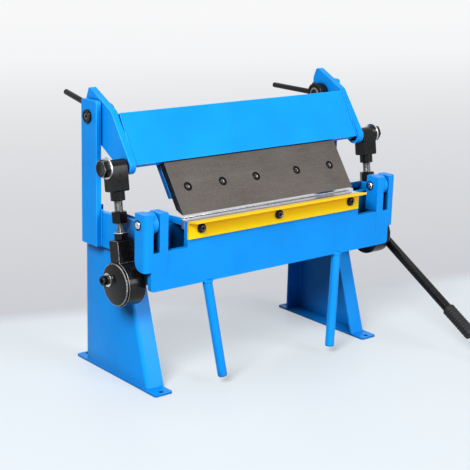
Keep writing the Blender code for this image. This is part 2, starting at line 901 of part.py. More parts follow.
def blade_point(height, depth):
    """A place on the blade's section: up its front face from the tip, and back from that face."""
    tip = hinge + Vector((blade_tip_set, blade_tip_lift))
    return tip + height * heading(blade_slope) + depth * heading(blade_slope - 90)


def blade_set(look_blade, look_holder, look_screw, joint, holder_top):
    """The bevelled clamping blade, the bar that holds it under the shelf and five flush screws."""
    nose = blade_nose * heading(blade_nose_angle)
    section = [
        blade_point(0, 0),
        blade_point(nose.x, nose.y),
        blade_point(blade_bevel, blade_thickness),
        blade_point(blade_height, blade_thickness),
        blade_point(blade_height, 0),
    ]
    blade = plate("blade", [section], blade_length, side_frame(0), look_blade, joint)
    front = blade_thickness + gap
    back = front + holder_thickness
    up = heading(blade_slope)
    faces = [blade_point(holder_foot, front), blade_point(holder_foot, back)]
    tops = [place + up * ((holder_top - place.y) / up.y) for place in reversed(faces)]
    holder = plate("blade_holder", [faces + tops], blade_length, side_frame(0), look_holder, joint)
    place = blade_point(blade_screw_height, 0)
    outward = -heading(blade_slope - 90)
    seat = -blade_screw_head - gap
    tail = -front - blade_screw_reach
    sink = blade_screw_head_radius + gap
    bore = blade_screw_radius + gap
    counterbore = [
        (0, cut_overrun),
        (sink, cut_overrun),
        (sink, seat),
        (bore, seat),
        (bore, tail - gap),
        (0, tail - gap),
    ]
    profile = [
        (0, -gap),
        (blade_screw_head_radius, -gap),
        (blade_screw_head_radius, seat + gap),
        (blade_screw_radius, seat + gap),
        (blade_screw_radius, tail),
        (0, tail),
    ]
    for number, share in enumerate(blade_screw_shares, 1):
        name = f"blade_screw_{number}"
        frame = axis_frame((share * blade_length, place.x, place.y), (0, outward.x, outward.y))
        hole = turned(name + "_hole", counterbore, frame, None, steps=small_steps)
        cut(blade, hole)
        cut(holder, hole)
        screw = turned(name, profile, frame, look_screw, joint, steps=small_steps)
        cut(screw, hex_tool(name + "_socket", 2 * blade_screw_socket, frame, seat / 2, cut_overrun))


def setback_lever(side, name, angle, look, joint):
    """A hub on the beam's pivot bolt and the rod that turns it."""
    frame = axis_frame((0, pivot.x, pivot.y), (side, 0, 0))
    bore = pivot_radius + gap
    profile = [
        (hub_radius - hub_edge, hub_outer),
        (hub_radius, hub_outer - hub_edge),
        (hub_radius, hub_inner + hub_edge),
        (hub_radius - hub_edge, hub_inner),
        (bore, hub_inner),
        (bore, hub_outer),
    ]
    hub = turned(name + "_hub", profile, frame, look, joint, closed=True)
    out = heading(angle)
    middle = side * (hub_inner + hub_outer) / 2
    rod_frame = axis_frame((middle, pivot.x, pivot.y), (0, out.x, out.y))
    low = setback_rod_start
    rod_bore = setback_rod_radius + gap
    cut(hub, drill(name + "_rod_bore", rod_bore, rod_frame, low - gap, hub_radius + cut_overrun))
    rod = pin_profile(setback_rod_radius, low, setback_rod_reach, edge_chamfer)
    turned(name + "_rod", rod, rod_frame, look, joint, steps=small_steps)


def clamp_shaft(look, joint):
    """The cross shaft, with a spigot at each end that is bored for the end bolt."""
    body = cheek_inner - shaft_end_play
    left_end = cap_outer - shaft_end_play
    right_end = lever_hub_outer - shaft_end_play
    profile = [
        (0, right_end),
        (spigot_radius, right_end),
        (spigot_radius, body),
        (shaft_radius, body),
        (shaft_radius, -body),
        (spigot_radius, -body),
        (spigot_radius, -left_end),
        (0, -left_end),
    ]
    frame = axis_frame((0, shaft.x, shaft.y), (1, 0, 0))
    made = turned("clamp_shaft", profile, frame, look, joint)
    bore = end_bolt_radius + gap
    depth = end_bolt_reach + gap
    for end, place, inward in (("left", -left_end, 1), ("right", right_end, -1)):
        low, high = sorted((place + inward * depth, place - inward * cut_overrun))
        cut(made, drill("shaft_bore_" + end, bore, frame, low, high))
    return left_end, right_end


def eccentric_disc(side, name, look, joint):
    """The eccentric on a shaft end, with the cap that keeps the link's ring on it."""
    frame = axis_frame((0, eccentric.x, eccentric.y), (side, 0, 0))
    profile = [
        (0, cap_outer),
        (cap_radius - edge_chamfer, cap_outer),
        (cap_radius, cap_outer - edge_chamfer),
        (cap_radius, cap_inner),
        (eccentric_radius, cap_inner),
        (eccentric_radius, link_inner),
        (0, link_inner),
    ]
    disc = turned(name, profile, frame, look, joint, steps=ring_steps)
    shaft_frame = axis_frame((0, shaft.x, shaft.y), (side, 0, 0))
    reach = (link_inner - cut_overrun, cap_outer + cut_overrun)
    cut(disc, drill(name + "_bore", spigot_radius + gap, shaft_frame, *reach))
    return disc


def end_bolt(side, name, seat, spigot_end, look, joint):
    """A socket screw and its washer, on the end of the shaft."""
    frame = axis_frame((0, shaft.x, shaft.y), (side, 0, 0))
    low = seat + gap
    head = low + end_washer
    top = head + end_bolt_head
    profile = [
        (0, top),
        (end_bolt_head_radius - edge_chamfer, top),
        (end_bolt_head_radius, top - edge_chamfer),
        (end_bolt_head_radius, head),
        (end_washer_radius, head),
        (end_washer_radius, low),
        (end_bolt_radius, low),
        (end_bolt_radius, spigot_end - end_bolt_reach),
        (0, spigot_end - end_bolt_reach),
    ]
    bolt = turned(name, profile, frame, look, joint)
    floor = (head + top) / 2
    cut(bolt, hex_tool(name + "_socket", 2 * end_bolt_socket, frame, floor, top + cut_overrun))
    return bolt


def clamp_lever(look, look_grip, joint):
    """The lever's hub on the right end of the shaft, its bar and the grip on the bar's end."""
    frame = axis_frame((0, shaft.x, shaft.y), (1, 0, 0))
    bore = spigot_radius + gap
    profile = [
        (lever_hub_radius - edge_chamfer, lever_hub_outer),
        (lever_hub_radius, lever_hub_outer - edge_chamfer),
        (lever_hub_radius, lever_hub_inner + edge_chamfer),
        (lever_hub_radius - edge_chamfer, lever_hub_inner),
        (bore, lever_hub_inner),
        (bore, lever_hub_outer),
    ]
    hub = turned("lever_hub", profile, frame, look, joint, closed=True)
    out = heading(180 + lever_drop_angle)
    middle = (lever_hub_inner + lever_hub_outer) / 2
    bar_frame = axis_frame((middle, shaft.x, shaft.y), (0, out.x, out.y))
    inner = lever_radius + gap
    reach = (lever_start - gap, lever_hub_radius + cut_overrun)
    cut(hub, drill("lever_bore", inner, bar_frame, *reach))
    bar = pin_profile(lever_radius, lever_start, lever_length, edge_chamfer)
    turned("lever_bar", bar, bar_frame, look, joint)
    end = lever_length + grip_edge
    start = lever_length - grip_length
    profile = [
        (0, end),
        (grip_radius - grip_edge, end),
        (grip_radius, end - grip_edge),
        (grip_radius, start + grip_edge / 2),
        (grip_radius - grip_edge / 2, start),
        (inner, start),
        (inner, lever_length + gap),
        (0, lever_length + gap),
    ]
    turned("lever_grip", profile, bar_frame, look_grip, joint)


def link_frame(x, station):
    """Frame on a link's centre line, this far above the eccentric, with Z up the link."""
    place = eccentric + station * link_up
    return axis_frame((x, place.x, place.y), (0, link_up.x, link_up.y))


def link_plan(across, station):
    """A point of a link's side view, across its centre line and up from the eccentric."""
    return eccentric + across * Vector((link_up.y, -link_up.x)) + station * link_up


def link_rod(x, name, look, joint):
    """The ring round the eccentric and the square rod above it, bored for the adjuster's lower stud."""
    half = rod_width / 2
    tilt = degrees(atan2(link_up.y, link_up.x))
    edge = degrees(asin(half / ring_radius))
    corners = sharp(arc(eccentric, ring_radius, tilt + edge, tilt - edge + 360, ring_steps))
    corners.append((link_plan(half, rod_length), rod_corner_radius))
    corners.append((link_plan(-half, rod_length), rod_corner_radius))
    bore = arc(eccentric, ring_bore_radius, 0, 360, ring_steps)[:-1]
    rod = plate(name, [rounded(corners), bore], link_width, side_frame(x), look, joint)
    frame = link_frame(x, rod_length)
    reach = (-lower_stud_reach - gap, cut_overrun)
    cut(rod, drill(name + "_bore", lower_stud_radius + gap, frame, *reach))
    return rod


def lock_nut(x, name, look, joint):
    """The nut that locks the adjuster on the rod, with a bright washer on top."""
    low = gap
    high = low + lock_nut_height
    frame = link_frame(x, rod_length)
    top = high + lock_washer
    made = turned(name, pin_profile(lock_washer_radius, high, top), frame, look, joint)
    crown_top = high + lock_washer / 2
    join(made, nut_crown(name + "_hex", lock_nut_flats, frame, low, crown_top))
    bore = lower_stud_radius + gap
    cut(made, drill(name + "_bore", bore, frame, low - cut_overrun, top + cut_overrun))
    return made


def adjuster(x, name, look, joint):
    """The turnbuckle stud: a lower and an upper thread with a hexagon between them."""
    frame = link_frame(x, 0)
    top = boss_bottom + upper_stud_reach
    bottom = rod_length - lower_stud_reach
    shoulder = adjuster_bottom + adjuster_height / 2
    profile = [
        (0, top),
        (upper_stud_radius - edge_chamfer, top),
        (upper_stud_radius, top - edge_chamfer),
        (upper_stud_radius, shoulder),
        (lower_stud_radius, shoulder),
        (lower_stud_radius, bottom + edge_chamfer),
        (lower_stud_radius - edge_chamfer, bottom),
        (0, bottom),
    ]
    made = turned(name, profile, frame, look, joint)
    high = adjuster_bottom + adjuster_height
    join(made, nut_crown(name + "_hex", adjuster_flats, frame, adjuster_bottom, high))
    return made


def clevis_block(x, name, look, joint):
    """The rod end at the top of a link with its round boss, bored for the bolt and for the stud."""
    half = rod_width / 2
    tilt = degrees(atan2(link_up.y, link_up.x))
    corners = sharp(arc(clevis, half, tilt - 90, tilt + 90, round_steps // 2))
    corners.append((link_plan(-half, clevis_bottom), rod_corner_radius))
    corners.append((link_plan(half, clevis_bottom), rod_corner_radius))
    outlines = [rounded(corners), circle(clevis, clevis_bolt_radius + gap)]
    block = plate(name, outlines, link_width, side_frame(x), look, joint)
    frame = link_frame(x, 0)
    join(block, drill(name + "_boss", boss_radius, frame, boss_bottom, clevis_bottom + rod_corner_radius))
    reach = boss_bottom + upper_stud_reach + gap
    cut(block, drill(name + "_bore", upper_stud_radius + gap, frame, boss_bottom - cut_overrun, reach))
    return block


def clevis_bolt(side, name, look, joint):
    """The bolt through a clevis into the beam's end plate, with its washer under the head."""
    frame = axis_frame((0, clevis.x, clevis.y), (side, 0, 0))
    low = link_outer + gap
    head = low + clevis_washer
    end = beam_side_inner + clevis_bolt_recess
    profile = [
        (0, head + clevis_washer),
        (clevis_bolt_radius, head + clevis_washer),
        (clevis_bolt_radius, head),
        (clevis_washer_radius, head),
        (clevis_washer_radius, low),
        (clevis_bolt_radius, low),
        (clevis_bolt_radius, end),
        (0, end),
    ]
    bolt = turned(name, profile, frame, look, joint)
    reach = (head - clevis_washer / 2, head + clevis_bolt_head)
    join(bolt, nut_crown(name + "_hex", clevis_bolt_flats, frame, *reach))
    return bolt


def build():
    """Makes the whole machine at rest, with the apron down and the blade just above the bed."""
    blue = material("blue_paint", (0.007, 0.337, 0.982), 0.38, 0.0)
    yellow = material("yellow_paint", (1.0, 0.57, 0.0), 0.4, 0.0)
    dark_steel = material("blade_steel", (0.18, 0.155, 0.14), 0.42, 0.8)
    bare_steel = material("bare_steel", (0.62, 0.63, 0.64), 0.28, 1.0)
    black = material("black_oxide", (0.012, 0.011, 0.011), 0.4, 0.6)
    bright = material("bright_zinc", (0.75, 0.75, 0.73), 0.25, 1.0)
    rubber = material("black_grip", (0.01, 0.01, 0.01), 0.7, 0.0)
    ends = ((-1, "left"), (1, "right"))
    for side, end in ends:
        stand(side, "stand_" + end, blue)
        foot(side, "foot_" + end, blue)
        cheek(side, "cheek_" + end, blue)
        post(side, "post_" + end, blue)
        hinge_pin(side, "hinge_pin_" + end, bright)
        shaft_bush(side, "shaft_bush_" + end, bright)
        pivot_bolt(side, "pivot_bolt_" + end, black)
    bed_top(bare_steel)
    bed_webs(blue)
    apron_joint = joint_empty("apron_axis", 0, hinge)
    apron = apron_plate(blue, apron_joint)
    apron_trim(bare_steel, yellow, black, apron_joint, apron)
    for (side, end), share in zip(ends, handle_shares):
        apron_end(side, "apron_end_" + end, blue, apron_joint)
        apron_handle(side, "handle_" + end, share * apron_body_half, blue, apron_joint)
    beam_joint = joint_empty("beam_axis", 0, pivot)
    for side, end in ends:
        beam_side(side, "beam_side_" + end, blue, beam_joint)
    holder_top = beam_plates(blue, beam_joint)
    blade_set(dark_steel, blue, black, beam_joint, holder_top)
    for (side, end), angle in zip(ends, setback_angles):
        lever_joint = joint_empty(f"setback_{end}_axis", side * (hub_inner + hub_outer) / 2, pivot)
        setback_lever(side, "setback_" + end, angle, black, lever_joint)
    shaft_joint = joint_empty("shaft_axis", 0, shaft)
    spigot_ends = clamp_shaft(bright, shaft_joint)
    seats = (cap_outer, lever_hub_outer)
    for (side, end), seat, spigot_end in zip(ends, seats, spigot_ends):
        eccentric_disc(side, "eccentric_" + end, black, shaft_joint)
        end_bolt(side, "end_bolt_" + end, seat, spigot_end, black, shaft_joint)
    clamp_lever(black, rubber, shaft_joint)
    for side, end in ends:
        x = side * (link_inner + link_outer) / 2
        link_joint = joint_empty(f"link_{end}_axis", x, eccentric)
        link_rod(x, "link_rod_" + end, black, link_joint)
        lock_nut(x, "lock_nut_" + end, black, link_joint)
        adjuster(x, "adjuster_" + end, black, link_joint)
        clevis_block(x, "clevis_" + end, black, link_joint)
        clevis_bolt(side, "clevis_bolt_" + end, black, link_joint)


for leftover in list(bpy.data.objects):
    bpy.data.objects.remove(leftover, do_unlink=True)
parts = fresh_collection("sheet_metal_brake")
cutters = fresh_collection("cutters")
machine = machine_empty()
build()
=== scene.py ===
"""Dressed scene of a bench sheet metal brake: finer pieces and worked materials over the CAD.

Lengths are in metres in the CAD's frame. Stations are distances from the machine's middle, across
it. A turned piece is given as rings, each a radius and a height along its own axis.
"""

import json
import random
from math import atan2, cos, pi, radians, sin, tan

import bmesh
import bpy
from mathutils import Matrix, Vector

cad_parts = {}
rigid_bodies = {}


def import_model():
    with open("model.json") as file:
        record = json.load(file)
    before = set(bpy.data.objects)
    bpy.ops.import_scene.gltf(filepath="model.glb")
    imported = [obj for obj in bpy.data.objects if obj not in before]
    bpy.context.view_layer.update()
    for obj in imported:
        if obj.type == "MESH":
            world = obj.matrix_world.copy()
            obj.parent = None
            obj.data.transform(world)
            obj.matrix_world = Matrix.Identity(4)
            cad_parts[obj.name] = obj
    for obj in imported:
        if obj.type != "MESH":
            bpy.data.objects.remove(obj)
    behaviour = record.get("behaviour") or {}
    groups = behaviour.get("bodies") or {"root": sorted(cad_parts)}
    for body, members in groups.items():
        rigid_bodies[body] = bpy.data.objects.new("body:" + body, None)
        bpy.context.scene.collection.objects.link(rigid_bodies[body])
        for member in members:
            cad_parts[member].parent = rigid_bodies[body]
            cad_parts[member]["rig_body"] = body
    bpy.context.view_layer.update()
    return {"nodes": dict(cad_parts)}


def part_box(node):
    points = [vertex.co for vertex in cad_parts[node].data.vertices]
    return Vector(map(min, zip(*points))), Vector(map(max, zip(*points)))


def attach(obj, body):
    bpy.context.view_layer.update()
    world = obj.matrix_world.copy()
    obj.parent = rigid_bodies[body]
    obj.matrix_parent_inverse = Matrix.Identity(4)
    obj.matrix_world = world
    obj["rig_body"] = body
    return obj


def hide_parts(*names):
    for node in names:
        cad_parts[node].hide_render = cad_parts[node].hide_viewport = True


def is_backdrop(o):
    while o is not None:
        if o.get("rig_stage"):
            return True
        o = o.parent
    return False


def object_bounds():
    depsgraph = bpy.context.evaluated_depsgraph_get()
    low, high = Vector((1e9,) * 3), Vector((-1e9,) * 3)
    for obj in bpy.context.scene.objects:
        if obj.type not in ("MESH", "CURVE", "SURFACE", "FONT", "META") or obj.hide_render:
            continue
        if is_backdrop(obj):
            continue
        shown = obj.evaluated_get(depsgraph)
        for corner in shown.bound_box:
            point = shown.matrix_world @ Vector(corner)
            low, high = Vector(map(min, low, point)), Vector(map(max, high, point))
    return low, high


for leftover in list(bpy.data.objects):
    bpy.data.objects.remove(leftover, do_unlink=True)
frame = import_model()
chance = random.Random(7)
scene = bpy.context.scene


def centre(node):
    low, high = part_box(node)
    return (low + high) / 2


# Places and stations taken from the CAD
feet = (centre("foot_left") + centre("foot_right")) / 2
middle_x = feet.x
hinge = centre("hinge_pin_left")
shaft = centre("shaft_bush_left")
pivot = centre("pivot_bolt_left")
eccentric = centre("eccentric_left")
clevis = centre("clevis_bolt_left")
link_up = Vector((0, clevis.y - eccentric.y, clevis.z - eccentric.z)).normalized()
bed_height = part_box("bed_top")[1].z
cheek_inner, cheek_outer = 0.2020, 0.2100
post_outer = 0.2183
link_inner, link_outer = 0.2112, 0.2362
cap_inner, cap_outer = 0.2365, 0.2395
lug_inner = 0.1880
tab_outer = 0.2240
hub_inner, hub_outer = 0.1840, 0.1980
side_inner = 0.1990
lever_hub_inner, lever_hub_outer = 0.2398, 0.2578
rod_length = 0.0566
ENDS = ((-1, "left"), (1, "right"))

# Clearance between stacked pieces, and depth of a hexagon's chamfer
gap, chamfer = 0.0003, 0.0003

# Material slots of the record, and the body that the lever turns
PAINTED = "blue_paint"
STEEL = "bare_steel"
ZINC = "bright_zinc"
OXIDE = "black_oxide"
SHAFT_SET = "clamp_shaft_set"


# Materials


def shader(name, base, roughness, metallic=0.0, coat=0.0, coat_roughness=0.1, specular=0.5):
    """A Principled material, with its tree and surface node to build on."""
    made = bpy.data.materials.new(name)
    made.use_nodes = True
    made.diffuse_color = (*base, 1)
    surface = made.node_tree.nodes["Principled BSDF"]
    surface.inputs["Base Color"].default_value = (*base, 1)
    surface.inputs["Roughness"].default_value = roughness
    surface.inputs["Metallic"].default_value = metallic
    surface.inputs["Coat Weight"].default_value = coat
    surface.inputs["Coat Roughness"].default_value = coat_roughness
    surface.inputs["Specular IOR Level"].default_value = specular
    return made, made.node_tree, surface


def grain(tree, scale, detail=3.0, stretch=(1, 1, 1), shift=0.0, roughness=0.5):
    """A noise value in the piece's own coordinates, this many cells to the metre."""
    coords = tree.nodes.new("ShaderNodeTexCoord")
    mapping = tree.nodes.new("ShaderNodeMapping")
    mapping.inputs["Scale"].default_value = [scale * share for share in stretch]
    mapping.inputs["Location"].default_value = (shift, shift * 1.7, shift * 0.6)
    texture = tree.nodes.new("ShaderNodeTexNoise")
    texture.inputs["Scale"].default_value = 1
    texture.inputs["Detail"].default_value = detail
    texture.inputs["Roughness"].default_value = roughness
    tree.links.new(coords.outputs["Object"], mapping.inputs["Vector"])
    tree.links.new(mapping.outputs["Vector"], texture.inputs["Vector"])
    return texture.outputs["Fac"]


def spread(tree, value, low, high, start=0.3, end=0.7):
    """The value's middle range drawn out between two numbers."""
    made = tree.nodes.new("ShaderNodeMapRange")
    made.inputs["From Min"].default_value = start
    made.inputs["From Max"].default_value = end
    made.inputs["To Min"].default_value = low
    made.inputs["To Max"].default_value = high
    tree.links.new(value, made.inputs["Value"])
    return made.outputs["Result"]


def shades(tree, value, *stops):
    """A colour ramp of (place, colour) stops."""
    made = tree.nodes.new("ShaderNodeValToRGB")
    points = made.color_ramp.elements
    while len(points) < len(stops):
        points.new(0.5)
    for point, (place, colour) in zip(points, stops):
        point.position = place
        point.color = (*colour, 1)
    tree.links.new(value, made.inputs["Fac"])
    return made.outputs["Color"]


def mixed(tree, first, second, factor):
    """One colour run into another by a share; each is a value or a socket."""
    made = tree.nodes.new("ShaderNodeMix")
    made.data_type = "RGBA"
    factor_in, first_in, second_in = made.inputs[0], made.inputs[6], made.inputs[7]
    for socket, value in ((factor_in, factor), (first_in, first), (second_in, second)):
        if isinstance(value, bpy.types.NodeSocket):
            tree.links.new(value, socket)
        else:
            socket.default_value = value
    return made.outputs[2]


def either(tree, first, second):
    """The greater of two values."""
    made = tree.nodes.new("ShaderNodeMath")
    made.operation = "MAXIMUM"
    tree.links.new(first, made.inputs[0])
    tree.links.new(second, made.inputs[1])
    return made.outputs[0]


def bumped(tree, surface, height, depth, strength, under=None):
    """Raises a surface by a height, over another bump where there is one under it."""
    made = tree.nodes.new("ShaderNodeBump")
    made.inputs["Strength"].default_value = strength
    made.inputs["Distance"].default_value = depth
    tree.links.new(height, made.inputs["Height"])
    if under:
        tree.links.new(under, made.inputs["Normal"])
    tree.links.new(made.outputs["Normal"], surface.inputs["Normal"])
    return made.outputs["Normal"]


def mottled(name, dark, middle, light):
    """Rolled steel with its dark skin on: fine speckle over faint streaks and broad stains."""
    made, tree, surface = shader(name, middle, 0.5, 0.35)
    speckle = grain(tree, 520, detail=5, roughness=0.7)
    colours = shades(tree, speckle, (0.3, dark), (0.5, middle), (0.72, light))
    streaks = grain(tree, 260, detail=4, stretch=(0.12, 1, 1), shift=2)
    streaked = mixed(tree, colours, (*dark, 1), spread(tree, streaks, 0.0, 0.45))
    clouds = grain(tree, 22, detail=5, shift=6)
    stained = mixed(tree, streaked, (*light, 1), spread(tree, clouds, 0.0, 0.4))
    tree.links.new(stained, surface.inputs["Base Color"])
    tree.links.new(spread(tree, speckle, 0.62, 0.42), surface.inputs["Roughness"])
    bumped(tree, surface, speckle, depth=0.0001, strength=0.5)
    return made


def tint(colour, share):
    return tuple(min(1.0, part * share) for part in colour)


def paint(name, colour, shade, light, recess_shade):
    """Powder coat with a slight orange peel and uneven gloss, darkened by painted shade in
    recesses.
    """
    made, tree, surface = shader(name, colour, 0.4, coat=0.06, coat_roughness=0.12, specular=0.14)
    cloud = grain(tree, 14, detail=4)
    colours = shades(tree, cloud, (0.3, shade), (0.5, colour), (0.72, light))
    # Painted shade: an ambient occlusion node darkens the colour toward the recess shade in corners
    # and recesses.
    recess = tree.nodes.new("ShaderNodeAmbientOcclusion")
    recess.samples = 8
    recess.inputs["Distance"].default_value = 0.045
    open_share = spread(tree, recess.outputs["AO"], 0.0, 1.0, 0.24, 0.72)
    shaded_colours = mixed(tree, (*recess_shade, 1), colours, open_share)
    tree.links.new(shaded_colours, surface.inputs["Base Color"])
    gloss = spread(tree, grain(tree, 60, detail=5, shift=3), 0.3, 0.46)
    tree.links.new(gloss, surface.inputs["Roughness"])
    peel = grain(tree, 700, detail=2, shift=5)
    swell = grain(tree, 90, detail=2, shift=9)
    waves = bumped(tree, surface, swell, depth=0.0004, strength=0.25)
    bumped(tree, surface, peel, depth=0.00012, strength=0.35, under=waves)
    return made


def steel(name, dark, light, roughness, metallic, scale, depth, stretch=(1, 1, 1), specular=0.5):
    """Ground or turned steel: fine streaks along the grain, with faint clouds of stain."""
    made, tree, surface = shader(name, light, roughness[0], metallic, specular=specular)
    streaks = grain(tree, scale, detail=4, stretch=stretch)
    clouds = grain(tree, 30, detail=5, shift=4)
    colours = shades(tree, streaks, (0.25, dark), (0.75, light))
    stained = mixed(tree, colours, (*tint(dark, 0.75), 1), spread(tree, clouds, 0.0, 0.35))
    tree.links.new(stained, surface.inputs["Base Color"])
    tree.links.new(spread(tree, streaks, *roughness), surface.inputs["Roughness"])
    bumped(tree, surface, streaks, depth, strength=0.5)
    return made


# The last colour of each paint is the painted shade that its recesses darken to.
BLUE = paint(
    "blue powder coat",
    colour=(0.002, 0.29, 0.88),
    shade=(0.002, 0.268, 0.84),
    light=(0.003, 0.31, 0.92),
    recess_shade=(0.0, 0.02, 0.1),
)
# A lighter blue for the rounded edges of blue pieces: a painted highlight along them.
EDGE_HIGHLIGHT_BLUE = paint(
    "blue with painted edge highlight",
    colour=(0.012, 0.37, 1.0),
    shade=(0.006, 0.33, 0.95),
    light=(0.02, 0.41, 1.0),
    recess_shade=(0.0, 0.02, 0.1),
)
# A dark blue of painted shade, for faces that sit in shade.
PAINTED_SHADE_BLUE = paint(
    "blue in shade",
    colour=(0.001, 0.07, 0.27),
    shade=(0.001, 0.045, 0.18),
    light=(0.002, 0.11, 0.38),
    recess_shade=(0.0, 0.015, 0.08),
)
YELLOW = paint(
    "yellow powder coat",
    colour=(1.0, 0.66, 0.0),
    shade=(1.0, 0.61, 0.0),
    light=(1.0, 0.7, 0.001),
    recess_shade=(0.7, 0.2, 0.0),
)


def shade_under_lip(made, node):
    """Painted shade on a node: light yellow at its foot, orange under its lip, yellow again on the
    lip.
    """
    tree = made.node_tree
    surface = tree.nodes["Principled BSDF"]
    coords = tree.nodes.new("ShaderNodeTexCoord")
    parts = tree.nodes.new("ShaderNodeSeparateXYZ")
    tree.links.new(coords.outputs["Object"], parts.inputs[0])
    low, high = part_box(node)
    height = spread(tree, parts.outputs["Z"], 0.0, 1.0, low.z, high.z)
    lip_shade = shades(
        tree,
        height,
        (0.0, (1.0, 0.7, 0.002)),
        (0.35, (1.0, 0.63, 0.0)),
        (0.8, (1.0, 0.4, 0.0)),
        (0.88, (1.0, 0.62, 0.01)),
    )
    worked = surface.inputs["Base Color"].links[0].from_socket
    tree.links.new(mixed(tree, worked, lip_shade, 0.8), surface.inputs["Base Color"])


# Painted shade on the yellow angle, orange under its lip.
shade_under_lip(YELLOW, "edge_angle")
BLADE = mottled(
    "dark rolled steel",
    dark=(0.048, 0.041, 0.036),
    middle=(0.083, 0.071, 0.064),
    light=(0.135, 0.119, 0.108),
)
BARE = steel(
    "bare ground steel",
    dark=(0.6, 0.61, 0.64),
    light=(0.86, 0.87, 0.9),
    roughness=(0.12, 0.26),
    metallic=0.9,
    scale=1200,
    depth=0.00003,
    stretch=(0.03, 1, 1),
)
BRIGHT = steel(
    "bright zinc",
    dark=(0.6, 0.6, 0.58),
    light=(0.84, 0.84, 0.81),
    roughness=(0.16, 0.3),
    metallic=1.0,
    scale=500,
    depth=0.00003,
)
BLACK = steel(
    "black oxide",
    dark=(0.003, 0.003, 0.0035),
    light=(0.009, 0.0075, 0.007),
    roughness=(0.14, 0.3),
    metallic=0.0,
    scale=320,
    depth=0.00006,
    specular=0.21,
)
# Bright metal for worn edges, also used as painted glints on chamfers, sockets and washers.
WEAR_AND_GLINT = steel(
    "wear and painted glint",
    dark=(0.1, 0.095, 0.09),
    light=(0.55, 0.54, 0.52),
    roughness=(0.22, 0.4),
    metallic=0.9,
    scale=260,
    depth=0.00003,
)
THREAD = steel(
    "dark zinc",
    dark=(0.12, 0.12, 0.12),
    light=(0.42, 0.42, 0.42),
    roughness=(0.25, 0.4),
    metallic=0.9,
    scale=260,
    depth=0.00003,
)
RUBBER = steel(
    "black grip",
    dark=(0.006, 0.006, 0.006),
    light=(0.013, 0.013, 0.013),
    roughness=(0.5, 0.7),
    metallic=0.0,
    scale=900,
    depth=0.0001,
    specular=0.3,
)


# Mesh helpers


def place(name, mesh, looks, body, slot, covers=()):
    """Puts a mesh in the scene on a CAD body, standing for the CAD nodes that it covers."""
    made = bpy.data.objects.new(name, mesh)
    scene.collection.objects.link(made)
    mesh.materials.clear()
    for look in looks:
        mesh.materials.append(look)
    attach(made, body)
    if covers:
        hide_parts(*covers)
    return made


def smooth(mesh, angle):
    """Smooth shading with sharp edges where the faces turn by more than the angle."""
    mesh.shade_smooth()
    mesh.set_sharp_from_angle(angle=radians(angle))


def clean(soft, seam):
    """Joins the tessellation's split corners and merges the triangles of each flat face."""
    bmesh.ops.remove_doubles(soft, verts=soft.verts, dist=seam)
    bmesh.ops.dissolve_degenerate(soft, dist=1e-5, edges=soft.edges)
    bmesh.ops.dissolve_limit(soft, angle_limit=radians(1.5), verts=soft.verts, edges=soft.edges)


def finer(nodes, look, slot, width, edge_wear_and_highlight=None, seam=1e-5):
    """A copy of CAD nodes with clean faces and rounded edges, which then stands for them."""
    sharp = 34
    nodes = nodes if isinstance(nodes, tuple) else (nodes,)
    soft = bmesh.new()
    for node in nodes:
        soft.from_mesh(frame["nodes"][node].data)
    clean(soft, seam)
    mesh = bpy.data.meshes.new("fine_" + nodes[0])
    soft.to_mesh(mesh)
    soft.free()
    body = frame["nodes"][nodes[0]]["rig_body"]
    made = place("fine_" + nodes[0], mesh, [look] + ([edge_wear_and_highlight] if edge_wear_and_highlight else []), body, slot, nodes)
    rounding = made.modifiers.new("rounding", "BEVEL")
    rounding.width = width
    rounding.segments = 3
    rounding.limit_method = "ANGLE"
    rounding.angle_limit = radians(sharp)
    rounding.miter_outer = "MITER_ARC"
    # The rounded edges take the second look: lighter paint as a painted highlight, or worn metal
    # with painted glint.
    if edge_wear_and_highlight:
        rounding.material = 1
    smooth(mesh, sharp)
    rounding.harden_normals = True
    return made


def recoat(made, look, chosen):
    """Gives another look to the faces chosen by their normal and middle."""
    made.data.materials.append(look)
    last = len(made.data.materials) - 1
    for polygon in made.data.polygons:
        if chosen(polygon.normal, polygon.center):
            polygon.material_index = last


def axis_frame(at, direction):
    """A frame at a place, its Z running along the direction."""
    turn = Vector(direction).to_track_quat("Z", "Y").to_matrix().to_4x4()
    return Matrix.Translation(at) @ turn


def across(side, axis):
    """A frame on an axis that crosses the machine, its Z running outward from the middle."""
    return axis_frame((middle_x, axis.y, axis.z), (side, 0, 0))


def on_link(side):
    """A frame at an eccentric, its Z running up the link."""
    link_x = middle_x + side * (link_inner + link_outer) / 2
    return axis_frame((link_x, eccentric.y, eccentric.z), link_up)


def soften(profile, radius):
    """The profile with its inner corners rounded."""
    steps, most = 3, 0.45
    points = [Vector(point) for point in profile]
    found = [points[0]]
    for before, corner, after in zip(points, points[1:], points[2:]):
        back, ahead = before - corner, after - corner
        reach = min(radius, back.length * most, ahead.length * most)
        start, end = corner + back.normalized() * reach, corner + ahead.normalized() * reach
        for i in range(steps + 1):
            t = i / steps
            found.append(start * (1 - t) ** 2 + corner * 2 * t * (1 - t) + end * t * t)
    return [tuple(point) for point in found + [points[-1]]]


def hex_ring(half, height, face=0.0, sign=0):
    """A ring of a hexagon, half its width from its axis to its flats.

    Its corners are chamfered by 30 degrees from a face circle: down with a sign of 1, up with -1.
    """

    def at(turn):
        radius = half / cos(turn % (pi / 3) - pi / 6)
        return radius, height - sign * max(0.0, radius - face) * tan(radians(30))

    return at


def knurl_ring(radius, height):
    """A ring of a knurled head."""
    depth, teeth = 0.00022, 24
    return lambda turn: (radius - depth * (0.5 + 0.5 * cos(turn * teeth)), height)


def washer_rings(inner, outer, low, high, edge=0.0):
    """Rings of a washer, its outer corners rounded where it has an edge."""
    profile = [(inner, high), (outer, high), (outer, low), (inner, low)]
    return soften(profile, edge) if edge else profile


